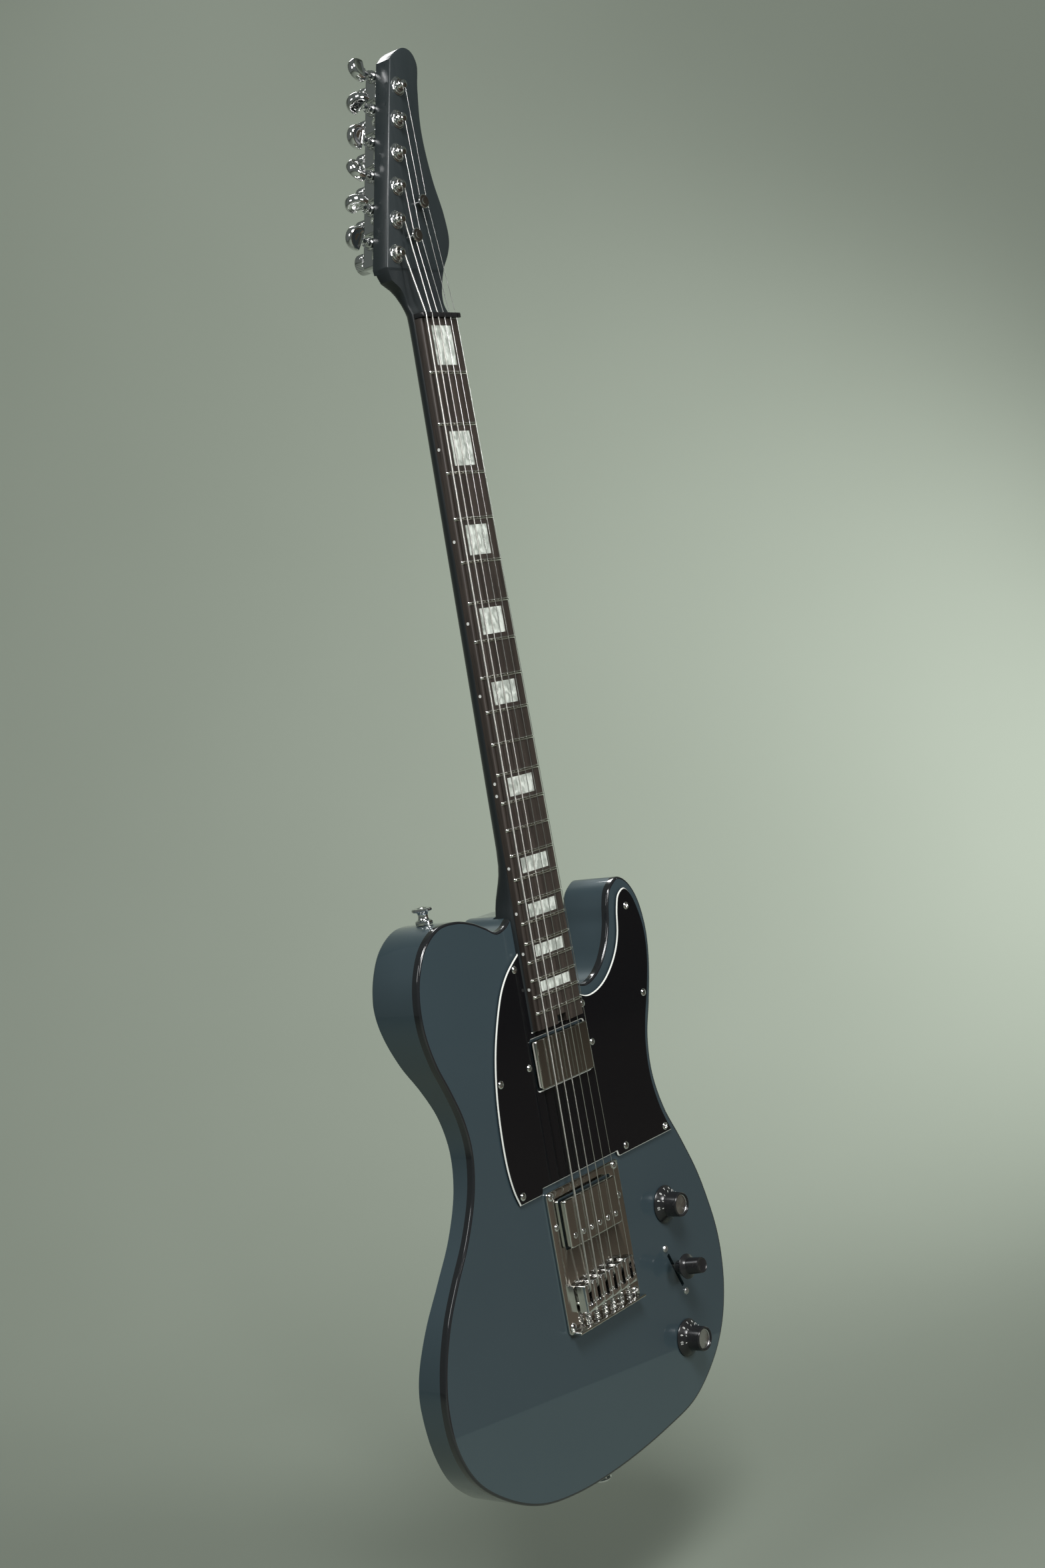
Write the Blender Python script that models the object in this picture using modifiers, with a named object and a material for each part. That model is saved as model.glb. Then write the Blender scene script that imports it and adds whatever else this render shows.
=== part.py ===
"""Baritone electric guitar, solid single-cutaway body, as separate pieces.

World frame: +Z runs up along the neck, -Y is the playing side, +X is the treble side.
The body's playing face is the plane Y = 0 and its lowest edge is Z = 0.
Sizes below are in millimetres and become metres where a mesh is made.
"""
import math

import bmesh
import bpy
import numpy as np
from mathutils import Matrix, Vector

MM = 0.001
GAP = 0.3
SEAT = 0.2
FLAT_ANGLE = math.radians(0.05)

# Strings and neck
SCALE_LENGTH = 711.2
NUT_Z = 864.0
FRET_COUNT = 22
NUT_HALF = 21.0
BOARD_END_Z = 339.7
BOARD_END_HALF = 28.2
BOARD_TOP_Y = -9.5
BOARD_THICK = 6.35
BOARD_RADIUS = 305.0
BOARD_BACK_Y = BOARD_TOP_Y + BOARD_THICK
STRING_RADII = (0.79, 0.60, 0.47, 0.33, 0.25, 0.20)
NUT_PITCH = 7.0
BRIDGE_PITCH = 10.6

# Body
BODY_THICK = 45.0
EDGE_ROUND = 1.2
BINDING_WIDE = 1.9
BINDING_DEEP = 5.5
HEEL_HALF = 28.4
POCKET_FLOOR_Y = 16.0

# Headstock and tuners
HEAD_FACE_Y = 1.5
HEAD_BACK_Y = 16.0
ROW_START = (12.1, 1036.3)
ROW_STEP = (-7.0, -24.8)
OUTWARD = (-0.960, 0.279)
POST_RADIUS = 3.1
WORM_OFFSET = 10.0
WORM_Y = 20.5
BUTTON_TURNS = (20.0, 75.0, -30.0, 10.0, 60.0, -15.0)

# Bridge, pickups and guard
PLATE_HALF = 45.3
PLATE_LOW_Z = 114.5
PLATE_HIGH_Z = 222.0
PLATE_THICK = 1.8
GUARD_THICK = 2.4
SADDLE_WIDE = 10.2
SADDLE_LONG = 20.5
SADDLE_TOP_Y = -12.0
SADDLE_CONTACT_Z = (146.0, 146.8, 147.4, 147.6, 148.2, 149.0)
STRING_HOLE_Z = 138.0
SPRING_CURLS = 3
NECK_PICKUP_Z = 314.8
BRIDGE_PICKUP_Z = 194.7
PICKUP_HALF_X = 32.6
PICKUP_HALF_Z = 18.5
PICKUP_SCREW_X = 39.5

# Controls
VOLUME_AXIS = (98.2, 168.9)
TONE_AXIS = (98.3, 60.4)
SWITCH_CENTRE = (98.0, 115.4)
SWITCH_DIRECTION = (-0.405, 0.914)
SWITCH_TILT = math.radians(9.0)
SWITCH_PIVOT_Y = 16.0
CAVITY_ROOF_Y = 8.0
JACK_Z = 100.0

PALETTE = {
    "body_paint": ((0.06, 0.085, 0.105), 0.12, 0.0),
    "black_gloss": ((0.012, 0.012, 0.013), 0.15, 0.0),
    "neck_black": ((0.02, 0.021, 0.022), 0.45, 0.0),
    "ebony": ((0.03, 0.024, 0.02), 0.5, 0.0),
    "chrome": ((0.78, 0.78, 0.78), 0.12, 1.0),
    "nickel": ((0.7, 0.69, 0.66), 0.25, 1.0),
    "steel": ((0.6, 0.6, 0.6), 0.3, 1.0),
    "black_plastic": ((0.015, 0.015, 0.015), 0.3, 0.0),
}

BODY_POINTS = (
    (55, 4), (97.4, 11.6), (131.5, 33.1), (149.5, 55), (160, 81), (164, 107.8), (163, 131),
    (158.4, 152.9), (149.9, 180.8), (135.2, 212.5), (120.2, 241.8), (112.9, 271.8),
    (115.2, 300.1), (124.9, 326.6), (133.4, 354), (136.9, 376.9), (135.8, 394.2),
    (131.7, 409.3), (124.7, 420.6), (116.7, 427.1), (109.5, 429.2), (102.5, 426.4),
    (95.7, 421), (91.2, 411), (87.3, 395.9), (80.6, 381.6), (70.3, 368.9), (58.5, 361.2),
    (47.1, 358.6), (37.6, 361.4), (31.4, 368), (30, 380), (30, 411), (26.5, 421),
    (14, 424.7), (-14, 425.4), (-27, 425.5), (-36, 420.2), (-46, 418.2), (-57, 423.8),
    (-71.2, 430.4), (-88, 434.8), (-108.5, 434.4), (-126, 424), (-137, 407), (-142.2, 388),
    (-142.4, 366), (-136.5, 342), (-127.3, 321.3), (-118.6, 298.2), (-115.6, 274),
    (-121, 247), (-136.1, 216.5), (-153.6, 192.3), (-168.5, 169), (-180.3, 141.1),
    (-185.7, 115), (-183.4, 84), (-169.9, 55.5), (-142.8, 31), (-107.2, 11.8),
    (-65, 2.6), (-10, 0),
)

BELLY_EDGE = (
    (-146, 410, 47), (-142, 380, 43), (-139.8, 352, 38), (-127, 322, 30), (-118, 299, 23),
    (-115.6, 274, 20), (-122, 245, 18), (-136, 217, 17.5), (-154, 193, 18),
    (-168, 172, 20.5), (-180, 142, 24), (-185.7, 117, 24.7), (-184, 85, 23.5),
    (-172, 57, 27), (-150, 30, 37), (-135, 5, 48),
)

GUARD_LEFT = (
    (-28.9, 398.5), (-37.5, 393), (-46, 386.4), (-54.6, 376.6), (-62.3, 362.9), (-72.8, 337),
    (-79.7, 308), (-82.8, 275), (-82.3, 249.5), (-79.2, 233), (-75.1, 222.3),
)
GUARD_BOTTOM = ((-49.7, 222.3), (-48, 223.5), (-47.2, 226.5), (47.2, 226.5), (48, 223.5), (49.7, 222.3))
GUARD_RIGHT = (
    (122, 222.3), (112.6, 243), (106.7, 268), (107.2, 294), (113, 316), (121.5, 337),
    (129, 362), (130.6, 382), (127.6, 398), (120.5, 414), (113.2, 419.7), (104.2, 415.8),
    (99.4, 405.4), (94.6, 386), (86.4, 371.8), (72, 358.3), (58, 351.6), (44, 350),
    (34.2, 353.6), (28.9, 357),
)
GUARD_END = ((28.9, 339.2), (-28.9, 339.2))
GUARD_SCREWS = (
    (-36.7, 387.8), (-74.2, 311.9), (111.3, 405.6), (114.7, 335.3),
    (35.3, 345.5), (112.9, 227.8), (59, 228), (-71.5, 228.3),
)

HEAD_POINTS_LEFT = ((8.9, 1056.1), (-35.5, 903.1))
HEAD_CURVE_LEFT = ((-35.5, 903.1), (-33, 893), (-24, 886.5), (-20.8, 876))
HEAD_CURVE_RIGHT = (
    (20.8, 876), (22.5, 887), (28, 901), (38, 915.5), (41.8, 926), (40.6, 944.8), (34.5, 970),
    (31.2, 1005), (35.5, 1037), (39.4, 1055.3), (35, 1064), (27.5, 1066.3), (17, 1062.5),
    (8.9, 1056.1),
)

PARTS = bpy.data.collections.new("baritone_guitar")
FINISHES = {}


def clear_scene():
    """Remove what the scene holds and link the collection for the parts."""
    for item in list(bpy.data.objects):
        bpy.data.objects.remove(item, do_unlink=True)
    bpy.context.scene.collection.children.link(PARTS)


def finish(name):
    """Return the named material, a Principled BSDF with the piece's colour."""
    if name in FINISHES:
        return FINISHES[name]
    colour, roughness, metallic = PALETTE[name]
    material = bpy.data.materials.new(name)
    material.use_nodes = True
    shader = material.node_tree.nodes["Principled BSDF"]
    shader.inputs["Base Color"].default_value = (*colour, 1.0)
    shader.inputs["Roughness"].default_value = roughness
    shader.inputs["Metallic"].default_value = metallic
    material.diffuse_color = (*colour, 1.0)
    FINISHES[name] = material
    return material


# Curves through a few points

def curve_through(points, steps, closed=False):
    """Points along a centripetal Catmull-Rom curve through the given points."""
    nodes = [np.array(point, dtype=float) for point in points]
    count = len(nodes)
    if closed:
        spans = range(count)
        pick = lambda index: nodes[index % count]
    else:
        nodes = [2 * nodes[0] - nodes[1]] + nodes + [2 * nodes[-1] - nodes[-2]]
        spans = range(1, count)
        pick = lambda index: nodes[index]
    result = []
    for index in spans:
        a, b, c, d = (pick(index + shift) for shift in (-1, 0, 1, 2))
        t1 = np.linalg.norm(b - a) ** 0.5
        t2 = t1 + np.linalg.norm(c - b) ** 0.5
        t3 = t2 + np.linalg.norm(d - c) ** 0.5
        for step in range(steps):
            t = t1 + (t2 - t1) * step / steps
            ab = a + (b - a) * t / t1
            bc = b + (c - b) * (t - t1) / (t2 - t1)
            cd = c + (d - c) * (t - t2) / (t3 - t2)
            abc = ab + (bc - ab) * t / t2
            bcd = bc + (cd - bc) * (t - t1) / (t3 - t1)
            result.append(abc + (bcd - abc) * (t - t1) / (t2 - t1))
    if not closed:
        result.append(np.array(points[-1], dtype=float))
    return [tuple(point) for point in result]


def widened(outline, distance):
    """The closed outline moved outward by a distance, along its own normals."""
    ring = np.array(outline)
    along = np.roll(ring, -1, axis=0) - np.roll(ring, 1, axis=0)
    along /= np.linalg.norm(along, axis=1)[:, None]
    normals = np.stack([along[:, 1], -along[:, 0]], axis=1)
    return [tuple(point) for point in ring + normals * distance]


def rounded_rectangle(x0, x1, z0, z1, radius, steps=3):
    """Outline of a rectangle with round corners, anticlockwise."""
    centres = ((x1 - radius, z0 + radius), (x1 - radius, z1 - radius),
               (x0 + radius, z1 - radius), (x0 + radius, z0 + radius))
    outline = []
    for corner, (x, z) in enumerate(centres):
        for step in range(steps + 1):
            angle = math.radians(-90 + 90 * corner + 90 * step / steps)
            outline.append((x + radius * math.cos(angle), z + radius * math.sin(angle)))
    return outline


# Meshes from modelling tools

def closed_mesh(source, weld=0.00001):
    """Weld a bmesh, or merge its flat faces after a cut, and return it as outward triangles."""
    if weld:
        bmesh.ops.remove_doubles(source, verts=source.verts, dist=weld)
    else:
        bmesh.ops.dissolve_limit(source, angle_limit=FLAT_ANGLE, verts=source.verts, edges=source.edges)
    bmesh.ops.triangulate(source, faces=source.faces)
    bmesh.ops.recalc_face_normals(source, faces=source.faces)
    mesh = bpy.data.meshes.new("shape")
    source.to_mesh(mesh)
    source.free()
    return mesh


def evaluated(item, weld=0.00001):
    """The mesh an object has after its modifiers, with the object removed."""
    bpy.context.scene.collection.objects.link(item)
    bpy.context.view_layer.update()
    graph = bpy.context.evaluated_depsgraph_get()
    mesh = bpy.data.meshes.new_from_object(item.evaluated_get(graph))
    mesh.transform(item.matrix_world)
    bpy.data.objects.remove(item, do_unlink=True)
    source = bmesh.new()
    source.from_mesh(mesh)
    return closed_mesh(source, weld)


def box(x0, x1, y0, y1, z0, z1):
    """A box between two corners."""
    source = bmesh.new()
    bmesh.ops.create_cube(source, size=1.0)
    centre = Vector((x0 + x1, y0 + y1, z0 + z1)) * 0.5 * MM
    size = Vector((x1 - x0, y1 - y0, z1 - z0)) * MM
    matrix = Matrix.Translation(centre) @ Matrix.Diagonal((*size, 1.0))
    bmesh.ops.transform(source, matrix=matrix, verts=source.verts)
    return closed_mesh(source)


def rod(radius, start, end, sides=12, end_radius=None):
    """A straight round bar, or a cone, between two points."""
    start = Vector(start) * MM
    end = Vector(end) * MM
    along = end - start
    source = bmesh.new()
    bmesh.ops.create_cone(source, cap_ends=True, segments=sides, radius1=radius * MM,
                          radius2=(radius if end_radius is None else end_radius) * MM,
                          depth=along.length)
    turn = along.to_track_quat("Z", "Y").to_matrix().to_4x4()
    matrix = Matrix.Translation((start + end) * 0.5) @ turn
    bmesh.ops.transform(source, matrix=matrix, verts=source.verts)
    return closed_mesh(source)


def turned(profile, origin, axis, sides=16):
    """A lathe shape: (radius, height) pairs from the top down, turned about an axis."""
    mesh = bpy.data.meshes.new("profile")
    points = [(radius * MM, 0.0, height * MM) for radius, height in profile]
    edges = [(index, index + 1) for index in range(len(points) - 1)]
    mesh.from_pydata(points, edges, [])
    item = bpy.data.objects.new("profile", mesh)
    screw = item.modifiers.new("Turn", "SCREW")
    screw.steps = sides
    screw.render_steps = sides
    screw.use_merge_vertices = True
    screw.merge_threshold = 0.00001
    turn = Vector(axis).to_track_quat("Z", "Y").to_matrix().to_4x4()
    item.matrix_world = Matrix.Translation(Vector(origin) * MM) @ turn
    return evaluated(item)


def plate(outlines, y_front, y_back, edge=0.0, edge_steps=1):
    """A flat piece from outlines in X and Z, with holes where outlines nest."""
    data = bpy.data.curves.new("outline", "CURVE")
    data.dimensions = "2D"
    data.fill_mode = "BOTH"
    data.extrude = ((y_back - y_front) * 0.5 - edge) * MM
    data.bevel_depth = edge * MM
    data.bevel_resolution = edge_steps
    data.offset = -edge * MM
    for outline in outlines:
        spline = data.splines.new("POLY")
        spline.points.add(len(outline) - 1)
        for point, (x, z) in zip(spline.points, outline):
            point.co = (x * MM, z * MM, 0.0, 1.0)
        spline.use_cyclic_u = True
    item = bpy.data.objects.new("outline", data)
    item.location.y = (y_front + y_back) * 0.5 * MM
    item.rotation_euler.x = math.pi / 2
    return evaluated(item)


def tube(points, radius, resolution=1):
    """A round wire along a polyline, with filled ends."""
    data = bpy.data.curves.new("wire", "CURVE")
    data.dimensions = "3D"
    data.bevel_depth = radius * MM
    data.bevel_resolution = resolution
    data.use_fill_caps = True
    spline = data.splines.new("POLY")
    spline.points.add(len(points) - 1)
    for point, place in zip(spline.points, points):
        point.co = (*(Vector(place) * MM), 1.0)
    return evaluated(bpy.data.objects.new("wire", data))


def loft(sections):
    """A solid skinned over sections that have the same number of points."""
    source = bmesh.new()
    rings = [[source.verts.new(Vector(point) * MM) for point in section] for section in sections]
    count = len(rings[0])
    for lower, upper in zip(rings, rings[1:]):
        for index in range(count):
            following = (index + 1) % count
            source.faces.new((lower[index], lower[following], upper[following], upper[index]))
    source.faces.new(rings[0])
    source.faces.new(rings[-1])
    return closed_mesh(source)


def together(meshes):
    """Several solids in one mesh, left as separate bodies."""
    source = bmesh.new()
    for mesh in meshes:
        source.from_mesh(mesh)
    return closed_mesh(source)


def combine(first, second, operation):
    """Union, difference or intersection of two meshes."""
    holder = bpy.data.objects.new("first", first)
    other = bpy.data.objects.new("second", second)
    bpy.context.scene.collection.objects.link(other)
    modifier = holder.modifiers.new("Combine", "BOOLEAN")
    modifier.object = other
    modifier.operation = operation
    modifier.solver = "EXACT"
    result = evaluated(holder, weld=0.0)
    bpy.data.objects.remove(other, do_unlink=True)
    return result


def cut(mesh, *cutters):
    """The mesh with each cutter taken away in turn."""
    for cutter in cutters:
        mesh = combine(mesh, cutter, "DIFFERENCE")
    return mesh


def joined(mesh, *others):
    """The mesh fused with each other shape in turn."""
    for other in others:
        mesh = combine(mesh, other, "UNION")
    return mesh


def moved(mesh, matrix):
    """A transformed copy of a mesh."""
    copy = mesh.copy()
    copy.transform(matrix)
    if matrix.determinant() < 0:
        copy.flip_normals()
    return copy


def add_part(name, mesh, material, origin=(0.0, 0.0, 0.0)):
    """Place a finished piece in the parts collection, with its origin where it turns."""
    place = Vector(origin) * MM
    mesh.name = name
    mesh.transform(Matrix.Translation(-place))
    mesh.materials.clear()
    mesh.materials.append(finish(material))
    mesh.shade_smooth()
    mesh.set_sharp_from_angle(angle=math.radians(30.0))
    item = bpy.data.objects.new(name, mesh)
    item.location = place
    PARTS.objects.link(item)
    return item


def screw(place, direction, head_radius=3.2, shank_radius=1.5, length=12.0, head_height=1.4):
    """A domed screw whose head rests at the place, with its shank along the direction."""
    profile = ((0.0, head_height), (head_radius * 0.7, head_height * 0.8), (head_radius, 0.0),
               (shank_radius, 0.0), (shank_radius, -length), (0.0, -length - shank_radius))
    return turned(profile, place, [-value for value in direction], sides=8)


# Neck geometry

def fret_z(number):
    """Height of a fret, from the nut down towards the bridge."""
    return NUT_Z - SCALE_LENGTH * (1.0 - 2.0 ** (-number / 12.0))


def board_half(z):
    """Half the board's width at a height."""
    share = (NUT_Z - z) / (NUT_Z - BOARD_END_Z)
    return NUT_HALF + (BOARD_END_HALF - NUT_HALF) * share


def board_y(x):
    """The board's curved top at a distance from its middle."""
    return BOARD_TOP_Y + x * x / (2.0 * BOARD_RADIUS)


def crowned_bar(z_low, z_high, half_low, half_high, drop, y_back, spans=4):
    """A bar with the board's curve on top, a drop below the board's own surface."""
    sections = []
    for z, half in ((z_low, half_low), (z_high, half_high)):
        across = [half * (2.0 * step / spans - 1.0) for step in range(spans + 1)]
        top = [(x, board_y(x) + drop, z) for x in across]
        sections.append([(half, y_back, z)] + top[::-1] + [(-half, y_back, z)])
    return loft(sections)


def string_x(index, z):
    """Sideways place of a string at a height between bridge and nut."""
    at_nut = NUT_PITCH * (index - 2.5)
    at_bridge = BRIDGE_PITCH * (index - 2.5)
    share = (NUT_Z - z) / (NUT_Z - SADDLE_CONTACT_Z[index])
    return at_nut + (at_bridge - at_nut) * share


# Body and binding

def body_outline():
    """The body's outline, smooth all round."""
    return curve_through(BODY_POINTS, 2, closed=True)


def stepped_body():
    """The body slab with a ledge round its playing face, where the binding sits."""
    outline = body_outline()
    step_y = BINDING_DEEP + GAP
    back = plate([outline], -20.0, BODY_THICK, edge=EDGE_ROUND, edge_steps=0)
    back = cut(back, box(-300, 300, -40, step_y, -50, 500))
    front = plate([widened(outline, -BINDING_WIDE - GAP)], 0.0, 2.0 * step_y)
    return joined(back, front)


def belly_cutter():
    """A fat tube along the bass edge, which hollows the back where the player leans."""
    radius = 80.0
    path = [(x - 5.0, y + radius, z) for x, z, y in BELLY_EDGE]
    return tube(path, radius, resolution=8)


def binding_band():
    """The band round the front edge of the body."""
    outline = body_outline()
    return plate([outline, widened(outline, -BINDING_WIDE)], 0.0, BINDING_DEEP)


def pickup_cavity(z):
    """The rout for a pickup and the ears of its base plate."""
    deep = box(-PICKUP_HALF_X - 2, PICKUP_HALF_X + 2, -1, 24, z - PICKUP_HALF_Z - 1.5, z + PICKUP_HALF_Z + 1.5)
    ears = box(-45, 45, -1, 22, z - 8, z + 8)
    return joined(deep, ears)


def ferrule_rims():
    """Raised rims at the back: the cups for the strings' ball ends and those under the neck screws."""
    rims = [rod(4.3, (BRIDGE_PITCH * (index - 2.5), 43, STRING_HOLE_Z),
                (BRIDGE_PITCH * (index - 2.5), 45.5, STRING_HOLE_Z), sides=12) for index in range(6)]
    for x, z in NECK_SCREWS:
        rims.append(rod(7.0, (x, 43, z), (x, 45.5, z), sides=16))
        rims.append(rod(4.2, (x, 45, z), (x, 46.8, z), sides=12, end_radius=2.6))
        rims.append(rod(2.2, (x, 40, z), (x, 4.0, z), sides=8))
    return rims


def string_holes():
    """Through holes for the strings, wider at the back where the ball ends sit."""
    profile = ((0.0, 60.0), (2.6, 60.0), (2.6, 39.0), (1.7, 39.0), (1.7, -5.0), (0.0, -5.0))
    return together([turned(profile, (BRIDGE_PITCH * (index - 2.5), 0.0, STRING_HOLE_Z), (0, 1, 0), sides=8)
                     for index in range(6)])


def switch_frame_matrix():
    """Places a piece made along +Z at the origin along the switch's slanted slot."""
    along = Vector((SWITCH_DIRECTION[0], 0.0, SWITCH_DIRECTION[1])).normalized()
    depth = Vector((0.0, 1.0, 0.0))
    across = depth.cross(along)
    turn = Matrix((across, depth, along)).transposed().to_4x4()
    return Matrix.Translation(Vector((SWITCH_CENTRE[0], 0.0, SWITCH_CENTRE[1])) * MM) @ turn


def control_cutters():
    """The cavity behind the controls, its cover's recess, the slot and the shaft holes."""
    recess = plate([rounded_rectangle(72, 124, 36, 194, 14)], 43.0, 50.0)
    cavity = plate([rounded_rectangle(78, 118, 42, 188, 10)], CAVITY_ROOF_Y, 46.0)
    slot = moved(box(-1.6, 1.6, -4, 12, -16, 16), switch_frame_matrix())
    shafts = [rod(4.6, (x, -4, z), (x, 12, z)) for x, z in (VOLUME_AXIS, TONE_AXIS)]
    jack = rod(8.5, (110, 24, JACK_Z), (172, 24, JACK_Z), sides=16)
    jack_recess = rod(15.4, (160.8, 24, JACK_Z), (172, 24, JACK_Z), sides=20)
    return [recess, cavity, together([slot] + shafts), jack, jack_recess]


COVER_SCREWS = ((86, 39.8), (110, 39.8), (76, 115), (120, 115), (86, 190.2), (110, 190.2))
NECK_SCREWS = ((-18, 358), (18, 358), (-18, 404), (18, 404))
BRIDGE_SCREWS = ((-40.3, 218.2), (40.3, 218.2), (-40.3, 119.5), (40.3, 119.5))
JACK_SCREWS = ((24 - 11.5, JACK_Z), (24 + 11.5, JACK_Z))
STRAP_TOP = (-97.0, 22.0, 435.6)
STRAP_BOTTOM = (-10.0, 22.0, 0.0)


def switch_screw_points():
    """The two screws at the ends of the switch slot."""
    reach = 22.0
    x, z = SWITCH_CENTRE
    u, w = SWITCH_DIRECTION
    return ((x + u * reach, z + w * reach), (x - u * reach, z - w * reach))


def body_screw_holes():
    """Pilot holes for every screw that ends in the body."""
    front = [(x, z, 1.9, 14.0) for x, z in GUARD_SCREWS]
    front += [(x, z, 2.0, 18.0) for x, z in BRIDGE_SCREWS]
    front += [(x, z, 1.9, 12.0) for x, z in switch_screw_points()]
    holes = [rod(radius, (x, -4, z), (x, depth, z), sides=6) for x, z, radius, depth in front]
    holes += [rod(1.6, (x, 50, z), (x, 32, z), sides=6) for x, z in COVER_SCREWS]
    holes += [rod(1.6, (170, y, z), (150, y, z), sides=6) for y, z in JACK_SCREWS]
    x, y, z = STRAP_TOP
    holes.append(rod(2.0, (x, y, z + 5), (x, y, z - 22), sides=8))
    x, y, z = STRAP_BOTTOM
    holes.append(rod(2.0, (x, y, z - 5), (x, y, z + 22), sides=8))
    return together(holes)


def build_body():
    """The body with its binding ledge, neck pocket, routs and holes."""
    slab = stepped_body()
    pocket = box(-HEEL_HALF - GAP, 31.5, -5, POCKET_FLOOR_Y + GAP, BOARD_END_Z - GAP, 440)
    binding = cut(binding_band(), box(-HEEL_HALF - 1.2, 33.5, -5, 12, 368, 440))
    slab = cut(slab, belly_cutter(), pocket)
    slab = cut(slab, pickup_cavity(NECK_PICKUP_Z), pickup_cavity(BRIDGE_PICKUP_Z))
    slab = cut(slab, *control_cutters())
    slab = joined(slab, *ferrule_rims())
    slab = cut(slab, string_holes(), body_screw_holes())
    add_part("body", slab, "body_paint")
    add_part("body_binding", binding, "black_gloss")


# Pickguard and screws

def build_guard():
    """The pickguard, cut for the neck and a pickup, with the screws it holds."""
    outline = list(GUARD_BOTTOM)
    outline += curve_through(GUARD_RIGHT, 2)
    outline += list(GUARD_END)
    outline += curve_through(GUARD_LEFT, 2)
    window = rounded_rectangle(-PICKUP_HALF_X - 0.8, PICKUP_HALF_X + 0.8, NECK_PICKUP_Z - PICKUP_HALF_Z - 0.8,
                               NECK_PICKUP_Z + PICKUP_HALF_Z + 0.8, 2.2, steps=2)
    guard = plate([outline, window], -GUARD_THICK - GAP, -GAP)
    top = -GUARD_THICK - GAP + SEAT
    screws = [screw((x, top, z), (0, 1, 0)) for x, z in GUARD_SCREWS]
    screws += [screw((side * PICKUP_SCREW_X, top, NECK_PICKUP_Z), (0, 1, 0), 2.9, 1.5, 20.0) for side in (-1, 1)]
    add_part("pickguard", joined(guard, together(screws)), "black_gloss")


def build_rear_cover():
    """The plate over the control cavity, with the screws it holds."""
    cover = plate([rounded_rectangle(72.4, 123.6, 36.4, 193.6, 13.6)], 43.3, 45.0)
    screws = [screw((x, 45.0 - SEAT, z), (0, -1, 0), 2.8, 1.2, 10.0, 1.0) for x, z in COVER_SCREWS]
    add_part("control_cover", joined(cover, together(screws)), "black_plastic")


# Neck

def neck_section(z, half, y_top, y_back, square):
    """One cross-section of the neck: a rounded C that squares up towards the heel."""
    ring = [(-half, y_top, z)]
    for step in range(13):
        angle = math.pi * step / 12
        power = 1.0 - 0.72 * square
        x = -half * math.copysign(abs(math.cos(angle)) ** power, math.cos(angle))
        y = y_top + 1.0 + (y_back - y_top - 1.0) * math.sin(angle) ** power
        ring.append((x, y, z))
    ring.append((half, y_top, z))
    return ring


def neck_shaft():
    """The neck from the heel to under the headstock, skinned over its sections."""
    top = BOARD_BACK_Y + GAP
    sections = [
        neck_section(BOARD_END_Z, HEEL_HALF, top, POCKET_FLOOR_Y, 0.96),
        neck_section(432, HEEL_HALF, top, POCKET_FLOOR_Y, 0.96),
        neck_section(440, board_half(440), top, 15.4, 0.8),
        neck_section(449, board_half(449), top, 14.6, 0.5),
        neck_section(460, board_half(460), top, 14.0, 0.15),
        neck_section(620, board_half(620), top, 13.3, 0.0),
        neck_section(840, board_half(840), top, 12.1, 0.0),
        neck_section(868.5, NUT_HALF, top, 12.3, 0.05),
        neck_section(881, NUT_HALF, HEAD_FACE_Y + 0.2, 14.6, 0.3),
        neck_section(892, NUT_HALF + 1, HEAD_FACE_Y + 0.2, HEAD_BACK_Y - 0.2, 0.6),
    ]
    return loft(sections)


def post_places():
    """Axes of the six string posts, the low string's first."""
    return [(ROW_START[0] + ROW_STEP[0] * step, ROW_START[1] + ROW_STEP[1] * step) for step in range(5, -1, -1)]


def headstock():
    """The flat headstock from its outline."""
    outline = [HEAD_POINTS_LEFT[0]]
    outline += curve_through(HEAD_CURVE_LEFT, 2)
    outline += curve_through(HEAD_CURVE_RIGHT, 2)[:-1]
    return plate([outline[::-1]], HEAD_FACE_Y, HEAD_BACK_Y, edge=1.0, edge_steps=0)


TREE_PLACES = ((11.4, 950.7), (-2.6, 925.4))


def build_neck():
    """The neck and headstock with tuner cases, washers and string guides, cut for what turns in them."""
    neck = joined(neck_shaft(), headstock(), *string_trees())
    neck = joined(neck, *tuner_washers(), *tuner_housings())
    posts = together([rod(POST_RADIUS + 0.4, (x, -5, z), (x, 35, z), sides=12) for x, z in post_places()])
    worms = [moved(rod(2.6, (1.8, WORM_Y, WORM_OFFSET), (12, WORM_Y, WORM_OFFSET), sides=8), tuner_matrix(place))
             for place in post_places()]
    channel = box(-3.4, 3.4, -8, 6.4, 346, 858)
    wheel_room = box(-6, 6, -8, 8.2, 330, 352)
    screws = together([rod(2.6, (x, 20, z), (x, 2, z), sides=8) for x, z in NECK_SCREWS])
    neck = cut(neck, posts, together(worms), channel, wheel_room, screws)
    add_part("neck", neck, "neck_black")


def build_board():
    """The fingerboard with its frets pressed in and the notch at its end."""
    board = crowned_bar(BOARD_END_Z, NUT_Z - GAP, BOARD_END_HALF, NUT_HALF, 0.0, BOARD_BACK_Y)
    notch = box(-5.2, 5.2, -12, 0, 330, 346)
    board = cut(board, notch)
    board = joined(board, together([fret(number) for number in range(1, FRET_COUNT + 1)]))
    add_part("fingerboard", board, "ebony")


def fret(number):
    """One fret wire: a crown that follows the board, its foot set into the board."""
    z = fret_z(number)
    half = board_half(z) - 0.1
    sections = []
    for step in range(4):
        x = half * (step / 1.5 - 1.0)
        top = board_y(x)
        profile = ((-1.2, top + 0.5), (-1.2, top - 0.3), (-0.6, top - 1.1), (0.6, top - 1.1), (1.2, top - 0.3),
                   (1.2, top + 0.5))
        sections.append([(x, y, z + shift) for shift, y in profile])
    return loft(sections)


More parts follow.
